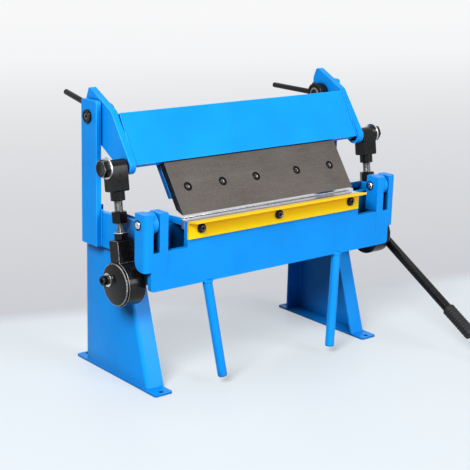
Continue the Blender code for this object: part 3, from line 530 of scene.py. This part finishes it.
def nut_rings(half, low, high):
    """Rings of a nut's outside, chamfered at both faces."""
    face = half - chamfer
    sides = [hex_ring(half, high, face, 1), hex_ring(half, low, face, -1)]
    return [(face, high), *sides, (face, low)]


def socket_rings(half, mouth, tip, floor, lip, top):
    """Rings of a hexagon socket, from the drill's tip under its floor up to its round mouth."""
    return [(0, tip), hex_ring(half, floor), hex_ring(half, lip), (mouth, top)]


def lathe(
    name, base, rings, look, body, slot, covers=(), sides=60, closed=False, bands=None, angle=32
):
    """A turned piece from rings, each a radius and height, or a function of the turn for both.

    A band is the strip of faces below the ring of its number; bands gives some another look.
    """
    soft = bmesh.new()
    rows = []
    for ring in rings:
        if not callable(ring) and ring[0] == 0:
            rows.append([soft.verts.new((0, 0, ring[1]))])
            continue
        row = []
        for i in range(sides):
            turn = 2 * pi * i / sides
            radius, height = ring(turn) if callable(ring) else ring
            row.append(soft.verts.new((radius * cos(turn), radius * sin(turn), height)))
        rows.append(row)
    pairs = list(zip(rows, rows[1:])) + ([(rows[-1], rows[0])] if closed else [])
    for band, (above, below) in enumerate(pairs):
        for i in range(sides):
            j = (i + 1) % sides
            if len(above) == 1:
                corners = [above[0], below[j], below[i]]
            elif len(below) == 1:
                corners = [above[i], above[j], below[0]]
            else:
                corners = [above[i], above[j], below[j], below[i]]
            face = soft.faces.new(corners)
            face.material_index = (bands or {}).get(band, 0)
    bmesh.ops.recalc_face_normals(soft, faces=soft.faces)
    mesh = bpy.data.meshes.new(name)
    soft.to_mesh(mesh)
    soft.free()
    mesh.transform(base)
    smooth(mesh, angle)
    looks = look if isinstance(look, list) else [look]
    kept = [polygon.material_index for polygon in mesh.polygons]
    place(name, mesh, looks, body, slot, covers)
    mesh.polygons.foreach_set("material_index", kept)


def pin(radius, low, high, edge):
    """Rings of a round bar with chamfered ends."""
    return [
        (0, high),
        (radius - edge, high),
        (radius, high - edge),
        (radius, low + edge),
        (radius - edge, low),
        (0, low),
    ]


def thread_rings(radius, pitch, low, high):
    """Rings of a screw thread, from its top to its bottom."""
    depth, per_turn = pitch * 0.55, 8
    count = int((high - low) / pitch * per_turn)

    def ring(height):
        def at(turn):
            saw = ((height / pitch - turn / (2 * pi)) % 1.0) * 2 - 1
            return radius - depth * min(1.0, abs(saw) * 1.15), height

        return at

    return [ring(high - (high - low) * i / count) for i in range(count + 1)]


def bead(name, points, radius, body):
    """A painted, rippled run of weld along a path."""
    step, ripple, wander, around = 0.0007, 0.0021, 0.12, 10
    points = [Vector(point) for point in points]
    path = []
    for start, end in zip(points, points[1:]):
        count = max(2, int((end - start).length / step))
        path += [start.lerp(end, i / count) for i in range(count)]
    path.append(points[-1])
    soft = bmesh.new()
    rows = []
    travelled = 0.0
    for i, spot in enumerate(path):
        ahead = path[min(i + 1, len(path) - 1)] - path[max(i - 1, 0)]
        travelled += (path[i] - path[i - 1]).length if i else 0
        turn = ahead.to_track_quat("Z", "Y").to_matrix()
        wave = 0.8 + 0.2 * abs(sin(pi * travelled / ripple)) + chance.uniform(-wander, wander) * 0.4
        end_round = min(1.0, 0.35 + min(i, len(path) - 1 - i) * 0.22)
        size = radius * wave * end_round
        row = []
        for k in range(around):
            angle = 2 * pi * k / around
            out = Vector((size * cos(angle), size * sin(angle), 0))
            row.append(soft.verts.new(spot + turn @ out))
        rows.append(row)
    for above, below in zip(rows, rows[1:]):
        for k in range(around):
            j = (k + 1) % around
            soft.faces.new([above[k], above[j], below[j], below[k]])
    soft.faces.new(rows[0])
    soft.faces.new(list(reversed(rows[-1])))
    bmesh.ops.recalc_face_normals(soft, faces=soft.faces)
    mesh = bpy.data.meshes.new(name)
    soft.to_mesh(mesh)
    soft.free()
    mesh.shade_smooth()
    place(name, mesh, [BLUE], body, PAINTED)


# Painted sheet, plate and bar

facing = 0.7
# The rounded edges of the blue pieces take the lighter blue as a painted highlight.
for side, end in ENDS:
    for kind, width in (
        ("stand_", 0.0005),
        ("foot_", 0.0005),
        ("cheek_", 0.0008),
        ("post_", 0.0008),
        ("beam_side_", 0.0009),
    ):
        finer(kind + end, BLUE, PAINTED, width, edge_wear_and_highlight=EDGE_HIGHLIGHT_BLUE)
for node, width in (
    ("bed_front_plate", 0.0007),
    ("bed_rear_plate", 0.0007),
    ("beam_face_plate", 0.0008),
    ("beam_shelf", 0.0006),
):
    finer(node, BLUE, PAINTED, width, edge_wear_and_highlight=EDGE_HIGHLIGHT_BLUE)
holder = finer("blade_holder", BLUE, PAINTED, 0.0007, edge_wear_and_highlight=EDGE_HIGHLIGHT_BLUE)
apron_nodes = ("apron_plate", "apron_end_left", "apron_end_right")
apron = finer(apron_nodes, BLUE, PAINTED, 0.0008, edge_wear_and_highlight=EDGE_HIGHLIGHT_BLUE, seam=0.00035)
apron_low, apron_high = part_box("apron_plate")
finer("edge_angle", YELLOW, "yellow_paint", 0.0005)
finer("edge_bar", BARE, STEEL, 0.0004)
bed = finer("bed_top", BARE, STEEL, 0.0004)
bed_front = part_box("bed_top")[0].y
blade = finer("blade", BLADE, "blade_steel", 0.0003)


def end_face(normal, spot):
    return abs(normal.x) > facing


def apron_top(normal, spot):
    return normal.z > facing and abs(spot.z - apron_high.z) < 0.0005


def bed_paint(normal, spot):
    """All of the bed but its ground top and its working edge."""
    upward = abs(normal.z) > facing and spot.z > bed_height - 0.001
    working = normal.y < -facing and spot.y < bed_front + 0.002
    return not (upward or working)


# The holder's ends take dark blue as painted shade, and the blade's ends are darkened to black.
recoat(holder, PAINTED_SHADE_BLUE, end_face)
recoat(apron, BARE, apron_top)
recoat(bed, BLUE, bed_paint)
recoat(blade, BLACK, end_face)

# Hinge pins, pivot bolts and setback arms

hinge_radius, hinge_waist, centre_hole = 0.0050, 0.0042, 0.0010
pivot_shank, pivot_head = 0.0060, 0.0090
hub_bore, hub_mouth, hub_radius, hub_recess = 0.0063, 0.0105, 0.0150, 0.0014
for side, end in ENDS:
    setback = "setback_" + end
    base = across(side, hinge)
    rings = [
        (0, tab_outer + 0.0008),
        (centre_hole, tab_outer + 0.0015),
        (hinge_waist, tab_outer + 0.0015),
        (hinge_radius, tab_outer + 0.0007),
        (hinge_radius, lug_inner - 0.0007),
        (hinge_waist, lug_inner - 0.0015),
        (centre_hole, lug_inner - 0.0015),
        (0, lug_inner - 0.0008),
    ]
    covers = ["hinge_pin_" + end]
    lathe("fine_hinge_pin_" + end, base, rings, BRIGHT, "frame", ZINC, covers, sides=48)
    # A thin black ring round each end of the pin, painted shade of the gap round it.
    for where, low, high in (
        ("outer", tab_outer + 0.0001, tab_outer + 0.0008),
        ("inner", lug_inner - 0.0008, lug_inner - 0.0001),
    ):
        rings = washer_rings(0.0048, 0.0066, low, high)
        name = f"pin_gap_shade_{where}_{end}"
        lathe(name, base, rings, BLACK, "frame", OXIDE, sides=48, closed=True)

    base = across(side, pivot)
    top, floor, under = post_outer + 0.0033, post_outer + 0.0013, post_outer + gap
    head = [(0.0085, top), (pivot_head, top - 0.0005), (pivot_head, under), (pivot_shank, under)]
    rings = socket_rings(0.0026, 0.0034, floor - 0.0008, floor, top - 0.0003, top)
    rings += soften(head, 0.0004)
    rings += [
        (pivot_shank, hub_inner + 0.0001),
        (0.0052, hub_inner - 0.0005),
        (0, hub_inner - 0.0005),
    ]
    # The socket's chamfer takes worn metal as wear and painted glint.
    name, covers = "fine_pivot_bolt_" + end, ["pivot_bolt_" + end]
    lathe(name, base, rings, [BLACK, WEAR_AND_GLINT], "frame", OXIDE, covers, bands={2: 1})

    profile = [
        (hub_bore, hub_outer),
        (hub_radius, hub_outer),
        (hub_radius, hub_inner),
        (hub_mouth, hub_inner),
        (hub_mouth, hub_inner + hub_recess),
        (hub_bore, hub_inner + hub_recess),
    ]
    rings = soften(profile, 0.0009)
    rings.append((hub_bore, hub_inner + 0.004))
    name, covers = "fine_hub_" + end, [setback + "_hub"]
    lathe(name, base, rings, BLACK, setback, OXIDE, covers, sides=72, closed=True)
    # The hub's washer is worn metal, carrying painted glints.
    rings = washer_rings(0.0062, 0.0088, hub_inner - 0.0001, hub_inner + 0.0012)
    lathe("hub_washer_" + end, base, rings, WEAR_AND_GLINT, setback, OXIDE, closed=True, sides=48)

    hub_at = (middle_x + side * (hub_inner + hub_outer) / 2, pivot.y, pivot.z)
    rod_rise = radians((10.0, 0.0)[side > 0])
    base = axis_frame(hub_at, (0, cos(rod_rise), sin(rod_rise)))
    rings = soften(pin(0.0040, 0.0085, 0.100, 0.0007), 0.0005)
    covers = [setback + "_rod"]
    lathe("fine_rod_" + end, base, rings, BLACK, setback, OXIDE, covers, sides=36)
    screw_lean = radians(35)
    base = axis_frame(hub_at, (0, sin(screw_lean), cos(screw_lean)))
    rings = socket_rings(0.0011, 0.0019, 0.0163, 0.0163, 0.0176, 0.0178)
    rings += [(0.0025, 0.0172), (0.0025, 0.012), (0, 0.012)]
    lathe("hub_screw_" + end, base, rings, BLACK, setback, OXIDE, sides=36)

# Clamp shaft, eccentrics and lever

journal, shaft_radius, shaft_edge = 0.0080, 0.0110, 0.0104
base = across(1, shaft)
rings = [
    (0, lever_hub_outer - 0.0005),
    (journal, lever_hub_outer - 0.0005),
    (journal, cheek_inner - 0.0005),
    (shaft_edge, cheek_inner - 0.0005),
    (shaft_radius, cheek_inner - 0.0011),
    (shaft_radius, -cheek_inner + 0.0011),
    (shaft_edge, -cheek_inner + 0.0005),
    (journal, -cheek_inner + 0.0005),
    (journal, -cap_outer + 0.0005),
    (0, -cap_outer + 0.0005),
]
lathe("fine_clamp_shaft", base, rings, BRIGHT, SHAFT_SET, ZINC, ["clamp_shaft"])

cap_radius, disc_radius = 0.0280, 0.0250
washer_thick, bolt_head, bolt_shank = 0.0016, 0.0080, 0.0040
for side, end in ENDS:
    rings = [
        (0, cap_outer),
        (0.0268, cap_outer),
        (0.0276, cap_outer - 0.0003),
        (cap_radius, cap_outer - 0.0011),
        (cap_radius, cap_inner + 0.0003),
        (0.0277, cap_inner),
        (disc_radius, cap_inner),
        (disc_radius, link_inner + 0.0005),
        (0.0245, link_inner),
        (0, link_inner),
    ]
    # The cap's outer chamfers take worn metal as wear and painted glint.
    name, covers = "fine_eccentric_" + end, ["eccentric_" + end]
    looks, bands = [BLACK, WEAR_AND_GLINT], {1: 1, 2: 1}
    base = across(side, eccentric)
    lathe(name, base, rings, looks, SHAFT_SET, OXIDE, covers, sides=96, bands=bands)

    base = across(side, shaft)
    seat = (cap_outer, lever_hub_outer)[side > 0] + gap
    low = seat + washer_thick
    top = low + bolt_head
    rings = washer_rings(0.0044, 0.0090, seat, low, edge=0.0003)
    lathe("end_washer_" + end, base, rings, BRIGHT, SHAFT_SET, ZINC, closed=True)
    rings = socket_rings(0.0030, 0.0040, top - 0.0046, top - 0.004, top - 0.0003, top)
    rings += [
        (0.0058, top),
        (0.0064, top - 0.0007),
        knurl_ring(0.0065, top - 0.0012),
        knurl_ring(0.0065, low + 0.0010),
        (0.0063, low + 0.0004),
        (0.0063, low),
        (bolt_shank, low),
        (bolt_shank, seat - 0.010),
        (0, seat - 0.010),
    ]
    name, covers = "fine_end_bolt_" + end, ["end_bolt_" + end]
    lathe(name, base, rings, BLACK, SHAFT_SET, OXIDE, covers, sides=120, angle=40)

base = across(1, shaft)
rings = washer_rings(0.0083, 0.0195, lever_hub_inner, lever_hub_outer, edge=0.0009)
covers = ["lever_hub"]
lathe("fine_lever_hub", base, rings, BLACK, SHAFT_SET, OXIDE, covers, sides=72, closed=True)
lever_turn = radians(210)
lever_x = middle_x + (lever_hub_inner + lever_hub_outer) / 2
base = axis_frame((lever_x, shaft.y, shaft.z), (0, cos(lever_turn), sin(lever_turn)))
rings = soften(pin(0.0070, 0.012, 0.232, 0.0006), 0.0005)
lathe("fine_lever_bar", base, rings, BLACK, SHAFT_SET, OXIDE, ["lever_bar"])
rings = soften([(0.0092, 0.0225), (0.0092, 0.0190), (0.0072, 0.0190), (0.0072, 0.0225)], 0.0008)
lathe("lever_weld", base, rings, BLACK, SHAFT_SET, OXIDE, closed=True)

grip_radius, groove_radius, grip_bore = 0.0095, 0.0087, 0.0073
groove_count, groove_pitch, groove_start = 9, 0.0048, 0.2270
profile = [(0, 0.2350), (0.0055, 0.2350), (0.0088, 0.2335), (grip_radius, 0.2300)]
for i in range(groove_count):
    station = groove_start - i * groove_pitch
    profile += [
        (grip_radius, station),
        (groove_radius, station - 0.0008),
        (groove_radius, station - 0.0016),
        (grip_radius, station - 0.0024),
    ]
profile += [
    (grip_radius, 0.1815),
    (0.0088, 0.1802),
    (grip_bore, 0.1800),
    (grip_bore, 0.2322),
    (0, 0.2322),
]
rings = soften(profile, 0.0004)
lathe("fine_lever_grip", base, rings, RUBBER, SHAFT_SET, "black_grip", ["lever_grip"])

# Eccentric links

nut_bore, nut_height, nut_half = 0.0053, 0.0082, 0.0085
adjuster_low, adjuster_high, adjuster_half = 0.0783, 0.0930, 0.0095
stud_low, stud_high, stud_engaged = 0.0440, 0.1260, 0.0004
clevis_thick, clevis_head, clevis_half, clevis_shank = 0.0020, 0.0080, 0.0105, 0.0060
for side, end in ENDS:
    body = "link_" + end
    base = on_link(side)
    finer("link_rod_" + end, BLACK, OXIDE, 0.0007, edge_wear_and_highlight=WEAR_AND_GLINT)
    finer("clevis_" + end, BLACK, OXIDE, 0.0009)
    low = rod_length + gap
    high = low + nut_height
    rings = [
        (nut_bore, high - 0.0006),
        (0.0062, high),
        *nut_rings(nut_half, low, high),
        (0.0062, low),
        (nut_bore, low + 0.0006),
    ]
    covers = ["lock_nut_" + end]
    lathe("fine_lock_nut_" + end, base, rings, BLACK, body, OXIDE, covers, closed=True)
    rings = washer_rings(nut_bore, 0.0088, high, high + 0.0012, edge=0.0003)
    lathe("lock_washer_" + end, base, rings, BRIGHT, body, ZINC, closed=True)

    low, high = adjuster_low, adjuster_high
    rings = [(0, high), *nut_rings(adjuster_half, low, high), (0, low)]
    lathe("fine_adjuster_" + end, base, rings, BLACK, body, OXIDE, ["adjuster_" + end])
    engaged = high - stud_engaged
    thread = thread_rings(0.0060, 0.00175, engaged, stud_high)
    rings = [(0, stud_high), *thread, (0, engaged)]
    lathe("upper_thread_" + end, base, rings, THREAD, body, ZINC, sides=48, angle=60)
    engaged = low + stud_engaged
    thread = thread_rings(0.0050, 0.0015, stud_low, engaged)
    rings = [(0, engaged), *thread, (0, stud_low)]
    lathe("lower_thread_" + end, base, rings, WEAR_AND_GLINT, body, OXIDE, sides=48, angle=60)

    base = across(side, clevis)
    seat = link_outer + gap
    low = seat + clevis_thick
    high = low + clevis_head
    face = clevis_half - chamfer
    rings = washer_rings(0.0062, 0.0140, seat, low, edge=0.0004)
    lathe("clevis_washer_" + end, base, rings, BRIGHT, body, ZINC, closed=True, sides=72)
    rings = [
        (0, high - 0.0002),
        (0.0070, high - 0.0002),
        (0.0074, high),
        (face, high),
        hex_ring(clevis_half, high, face, 1),
        hex_ring(clevis_half, low + 0.0003),
        (0.0100, low),
        (clevis_shank, low),
        (clevis_shank, side_inner + 0.0014),
        (0.0054, side_inner + 0.0008),
        (0, side_inner + 0.0008),
    ]
    # The head's chamfer takes worn metal as wear and painted glint.
    name, covers = "fine_clevis_bolt_" + end, ["clevis_bolt_" + end]
    lathe(name, base, rings, [BLACK, WEAR_AND_GLINT], body, OXIDE, covers, bands={3: 1})

# Screws of the angle and of the blade

button, angle_shank = 0.0044, 0.0040
for number in (1, 2, 3):
    node = f"angle_screw_{number}"
    low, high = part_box(node)
    tail = low.y - high.y + button
    at = ((low.x + high.x) / 2, low.y + button, (low.z + high.z) / 2)
    base = axis_frame(at, (0, -1, 0))
    rings = socket_rings(0.0025, 0.0031, 0.0012, 0.0018, 0.0041, button)
    rings += [(0.0040, 0.0043), (0.0051, 0.0037), (0.0060, 0.0026), (0.0064, 0.0014)]
    rings += [(0.0065, 0.0005), (0.0063, 0), (angle_shank, 0), (angle_shank, tail), (0, tail)]
    # The socket's chamfer takes worn metal as wear and painted glint.
    lathe("fine_" + node, base, rings, [BLACK, WEAR_AND_GLINT], "apron", OXIDE, [node], bands={2: 1})

blade_lean = radians(54.9)
screw_head, screw_shank, head_depth, tail = 0.0050, 0.0030, -0.0057, -0.0163
# Sizes of the black ring of painted shade round each blade screw's head.
shade_ring_inner, shade_ring_outer, shade_ring_proud, shade_ring_sunk = 0.0051, 0.0064, 0.00015, 0.0006
blade_out = Vector((0, -sin(blade_lean), cos(blade_lean)))
blade_corners = frame["nodes"]["blade"].data.vertices
blade_plane = max(blade_out.dot(corner.co) for corner in blade_corners)
for number in range(1, 6):
    node = f"blade_screw_{number}"
    low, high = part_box(node)
    # The head's rim carries the box's front and top edges, so its centre is a radius in from both.
    face_y = low.y + screw_head * cos(blade_lean)
    face_z = high.z - screw_head * sin(blade_lean)
    face = Vector((centre(node).x, face_y, face_z))
    base = axis_frame(face, blade_out)
    rings = socket_rings(0.0017, 0.0024, -0.0030, -0.0026, -0.0005, 0)
    rings += [
        (0.0044, 0),
        (screw_head, -0.0006),
        (screw_head, head_depth),
        (screw_shank, head_depth),
        (screw_shank, tail),
        (0, tail),
    ]
    # The socket's floor and chamfer take worn metal as wear and painted glint.
    name, looks, bands = "fine_" + node, [BLACK, WEAR_AND_GLINT], {0: 1, 2: 1}
    lathe(name, base, rings, looks, "upper_beam", OXIDE, [node], sides=48, bands=bands)
    # A black ring round each head, level with the blade: painted shade of the screw's counterbore.
    proud = blade_plane - blade_out.dot(face)
    low, high = proud - shade_ring_sunk, proud + shade_ring_proud
    rings = washer_rings(shade_ring_inner, shade_ring_outer, low, high, edge=0.0001)
    lathe(f"screw_shade_ring_{number}", base, rings, BLACK, "upper_beam", OXIDE, closed=True)

# Apron handles and welds

handle_at = {"left": -0.121, "right": 0.114}
handle_splay, handle_lean = radians(7.9), radians(6.2)
handle_radius, handle_root = 0.0065, -0.0016
apron_y = (apron_low.y + apron_high.y) / 2
for side, end in ENDS:
    down = Vector((-side * tan(handle_splay), -tan(handle_lean), -1)).normalized()
    base = axis_frame((middle_x + handle_at[end], apron_y, apron_low.z), down)
    rings = [(0, 0.1363), (0.0048, 0.1363), (0.0058, 0.1359), (0.0064, 0.1349)]
    rings += [(handle_radius, 0.1337), (handle_radius, handle_root), (0, handle_root)]
    covers = ["handle_" + end]
    lathe("fine_handle_" + end, base, rings, BLUE, "apron", PAINTED, covers, sides=48)

# Radii of the weld beads, and how far a seam stands off the post
seam_weld, top_weld, foot_weld, weld_proud = 0.0016, 0.0026, 0.0024, 0.0004
stand_weld, face_weld, face_foot_weld, handle_weld = 0.0011, 0.0013, 0.0022, 0.0014
for side, end in ENDS:
    low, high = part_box("post_" + end)
    cheek_top = bed_height - 0.0022
    seam_x = middle_x + side * (cheek_outer + gap)
    front, back, under = low.y - weld_proud, high.y + weld_proud, low.z - weld_proud
    for where, seam, radius in (
        ("front", ((front, low.z), (front, cheek_top)), seam_weld),
        ("top", ((low.y - 0.001, cheek_top - 0.004), (low.y - 0.001, cheek_top)), top_weld),
        ("foot", ((low.y, low.z + 0.003), (low.y + 0.009, under)), foot_weld),
        ("under", ((low.y, under), (high.y, under)), seam_weld),
        ("back", ((back, low.z), (back, cheek_top)), seam_weld),
    ):
        points = [(seam_x, *spot) for spot in seam]
        bead(f"post_weld_{where}_{end}", points, radius, "frame")

    low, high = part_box("stand_" + end)
    seam_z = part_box("foot_" + end)[1].z + gap
    web_x = (low.x, high.x)[side > 0]
    seam = [(web_x, low.y + 0.006, seam_z), (web_x, high.y - 0.006, seam_z)]
    bead("stand_weld_web_" + end, seam, stand_weld, "frame")
    if side > 0:
        flange_from, flange_to = low.x + 0.001, high.x - 0.006
    else:
        flange_from, flange_to = low.x + 0.006, high.x - 0.001
    for where, seam_y in (("front", low.y), ("back", high.y)):
        seam = [(flange_from, seam_y, seam_z), (flange_to, seam_y, seam_z)]
        bead(f"stand_weld_{where}_{end}", seam, stand_weld, "frame")

    low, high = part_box("beam_face_plate")
    face_x = (low.x, high.x)[side > 0]
    foot_spot = Vector((face_x, low.y - 0.0002, 0.2994))
    head_spot = Vector((face_x, 0.0484, high.z + 0.0002))
    seam = [foot_spot.lerp(head_spot, share) for share in (0.03, 0.98)]
    bead("face_weld_" + end, seam, face_weld, "upper_beam")
    seam = [foot_spot, foot_spot.lerp(head_spot, 0.06)]
    bead("face_weld_foot_" + end, seam, face_foot_weld, "upper_beam")

ring_radius, ring_steps = 0.0068, 24
for side, end in ENDS:
    ring = []
    for i in range(ring_steps + 1):
        turn = 2 * pi * i / ring_steps
        ring_x = middle_x + handle_at[end] + ring_radius * cos(turn)
        ring.append((ring_x, apron_y + ring_radius * sin(turn), apron_low.z - 0.0008))
    bead("handle_weld_" + end, ring, handle_weld, "apron")

for side, end in ENDS:
    bush = frame["nodes"]["shaft_bush_" + end]
    bush.data.materials.clear()
    bush.data.materials.append(BRIGHT)

# Stage, light and camera

# Two points of the line along which the table meets the wall
edge_left, edge_right = Vector((-0.195, 0.334, 0)), Vector((0.484, 0.106, 0))
edge_turn = atan2(edge_right.y - edge_left.y, edge_right.x - edge_left.x)
table_span = 14
table_drop = 0.0002
floor_mesh = bpy.data.meshes.new("table")
soft = bmesh.new()
bmesh.ops.create_grid(soft, x_segments=1, y_segments=1, size=table_span)
soft.to_mesh(floor_mesh)
soft.free()
table = bpy.data.objects.new("table", floor_mesh)
scene.collection.objects.link(table)
table.location = (edge_left.x, edge_left.y, -table_drop)
table.rotation_euler.z = edge_turn
table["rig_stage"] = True
look, tree, surface = shader("pale table", (0.76, 0.83, 0.9), 0.5, specular=0.15)
floor_mesh.materials.append(look)
coords = tree.nodes.new("ShaderNodeTexCoord")
parts = tree.nodes.new("ShaderNodeSeparateXYZ")
tree.links.new(coords.outputs["Object"], parts.inputs[0])
path = tree.nodes.new("ShaderNodeLightPath")
seen = either(tree, path.outputs["Is Camera Ray"], path.outputs["Is Glossy Ray"])
seen = either(tree, seen, path.outputs["Is Transmission Ray"])
patches = grain(tree, 2.5, 2)
top_tone = shades(tree, patches, (0.3, (0.37, 0.405, 0.42)), (0.7, (0.39, 0.42, 0.43)))
unseen_tone = (0.05, 0.06, 0.07, 1)
tree.links.new(mixed(tree, unseen_tone, top_tone, seen), surface.inputs["Base Color"])
glow_tone = shades(tree, patches, (0.3, (0.365, 0.39, 0.42)), (0.7, (0.38, 0.405, 0.43)))
tree.links.new(glow_tone, surface.inputs["Emission Color"])
tree.links.new(seen, surface.inputs["Emission Strength"])
wall = tree.nodes.new("ShaderNodeEmission")
wall_reach = 5.0
far = spread(tree, parts.outputs["Y"], 0.0, 1.0, 0.0, wall_reach)
wall_tone = shades(
    tree,
    far,
    (0.0, (0.6, 0.615, 0.65)),
    (0.06, (0.65, 0.66, 0.69)),
    (0.26, (0.74, 0.745, 0.765)),
    (0.62, (0.91, 0.915, 0.925)),
    (1.0, (0.94, 0.94, 0.95)),
)
tree.links.new(wall_tone, wall.inputs["Color"])
tree.links.new(spread(tree, seen, 0.02, 1.0, 0.0, 1.0), wall.inputs["Strength"])
blend = tree.nodes.new("ShaderNodeMixShader")
tree.links.new(spread(tree, parts.outputs["Y"], 0.0, 1.0, -0.025, 0.03), blend.inputs["Fac"])
tree.links.new(surface.outputs[0], blend.inputs[1])
tree.links.new(wall.outputs[0], blend.inputs[2])
tree.links.new(blend.outputs[0], tree.nodes["Material Output"].inputs["Surface"])

world = bpy.data.worlds.new("studio")
scene.world = world
world.use_nodes = True
tree = world.node_tree
background = tree.nodes["Background"]
background.inputs["Color"].default_value = (0.9, 0.905, 0.92, 1)
dim = tree.nodes.new("ShaderNodeBackground")
dim.inputs["Color"].default_value = (0.95, 0.97, 1.0, 1)
dim.inputs["Strength"].default_value = 0.025
path = tree.nodes.new("ShaderNodeLightPath")
choose = tree.nodes.new("ShaderNodeMixShader")
tree.links.new(path.outputs["Is Diffuse Ray"], choose.inputs["Fac"])
tree.links.new(background.outputs["Background"], choose.inputs[1])
tree.links.new(dim.outputs["Background"], choose.inputs[2])
tree.links.new(choose.outputs["Shader"], tree.nodes["World Output"].inputs["Surface"])


def softbox(name, at, aim, size, power):
    """A rectangular lamp aimed at a place."""
    lamp = bpy.data.lights.new(name, "AREA")
    lamp.shape = "RECTANGLE"
    lamp.size, lamp.size_y = size
    lamp.energy = power
    made = bpy.data.objects.new(name, lamp)
    scene.collection.objects.link(made)
    made.location = at
    made.rotation_mode = "QUATERNION"
    made.rotation_quaternion = (Vector(aim) - Vector(at)).to_track_quat("-Z", "Y")


middle = (0, 0, 0.2)
softbox("key", (-2.2, -1.3, 2.0), middle, size=(1.2, 1.1), power=112)
softbox("front", (0.8, -2.7, 1.1), middle, size=(1.5, 1.1), power=57)
softbox("top", (0, 0.3, 2.4), middle, size=(1.6, 1.2), power=11)

yaw, pitch, roll = radians(39.69), radians(15.11), radians(1.55)
camera_at = (-1.08245, -1.24407, 0.6225)
forward = Vector((sin(yaw) * cos(pitch), cos(yaw) * cos(pitch), -sin(pitch)))
right = Vector((cos(yaw), -sin(yaw), 0))
up = right.cross(forward)
axes = Matrix((cos(roll) * right + sin(roll) * up, cos(roll) * up - sin(roll) * right, -forward))
lens = bpy.data.cameras.new("camera")
camera = bpy.data.objects.new("camera", lens)
scene.collection.objects.link(camera)
camera.matrix_world = Matrix.Translation(camera_at) @ axes.transposed().to_4x4()
lens.sensor_width = 36
lens.lens = 93.4
lens.clip_start = 0.05
scene.camera = camera
scene.view_settings.view_transform = "Standard"

low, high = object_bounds()
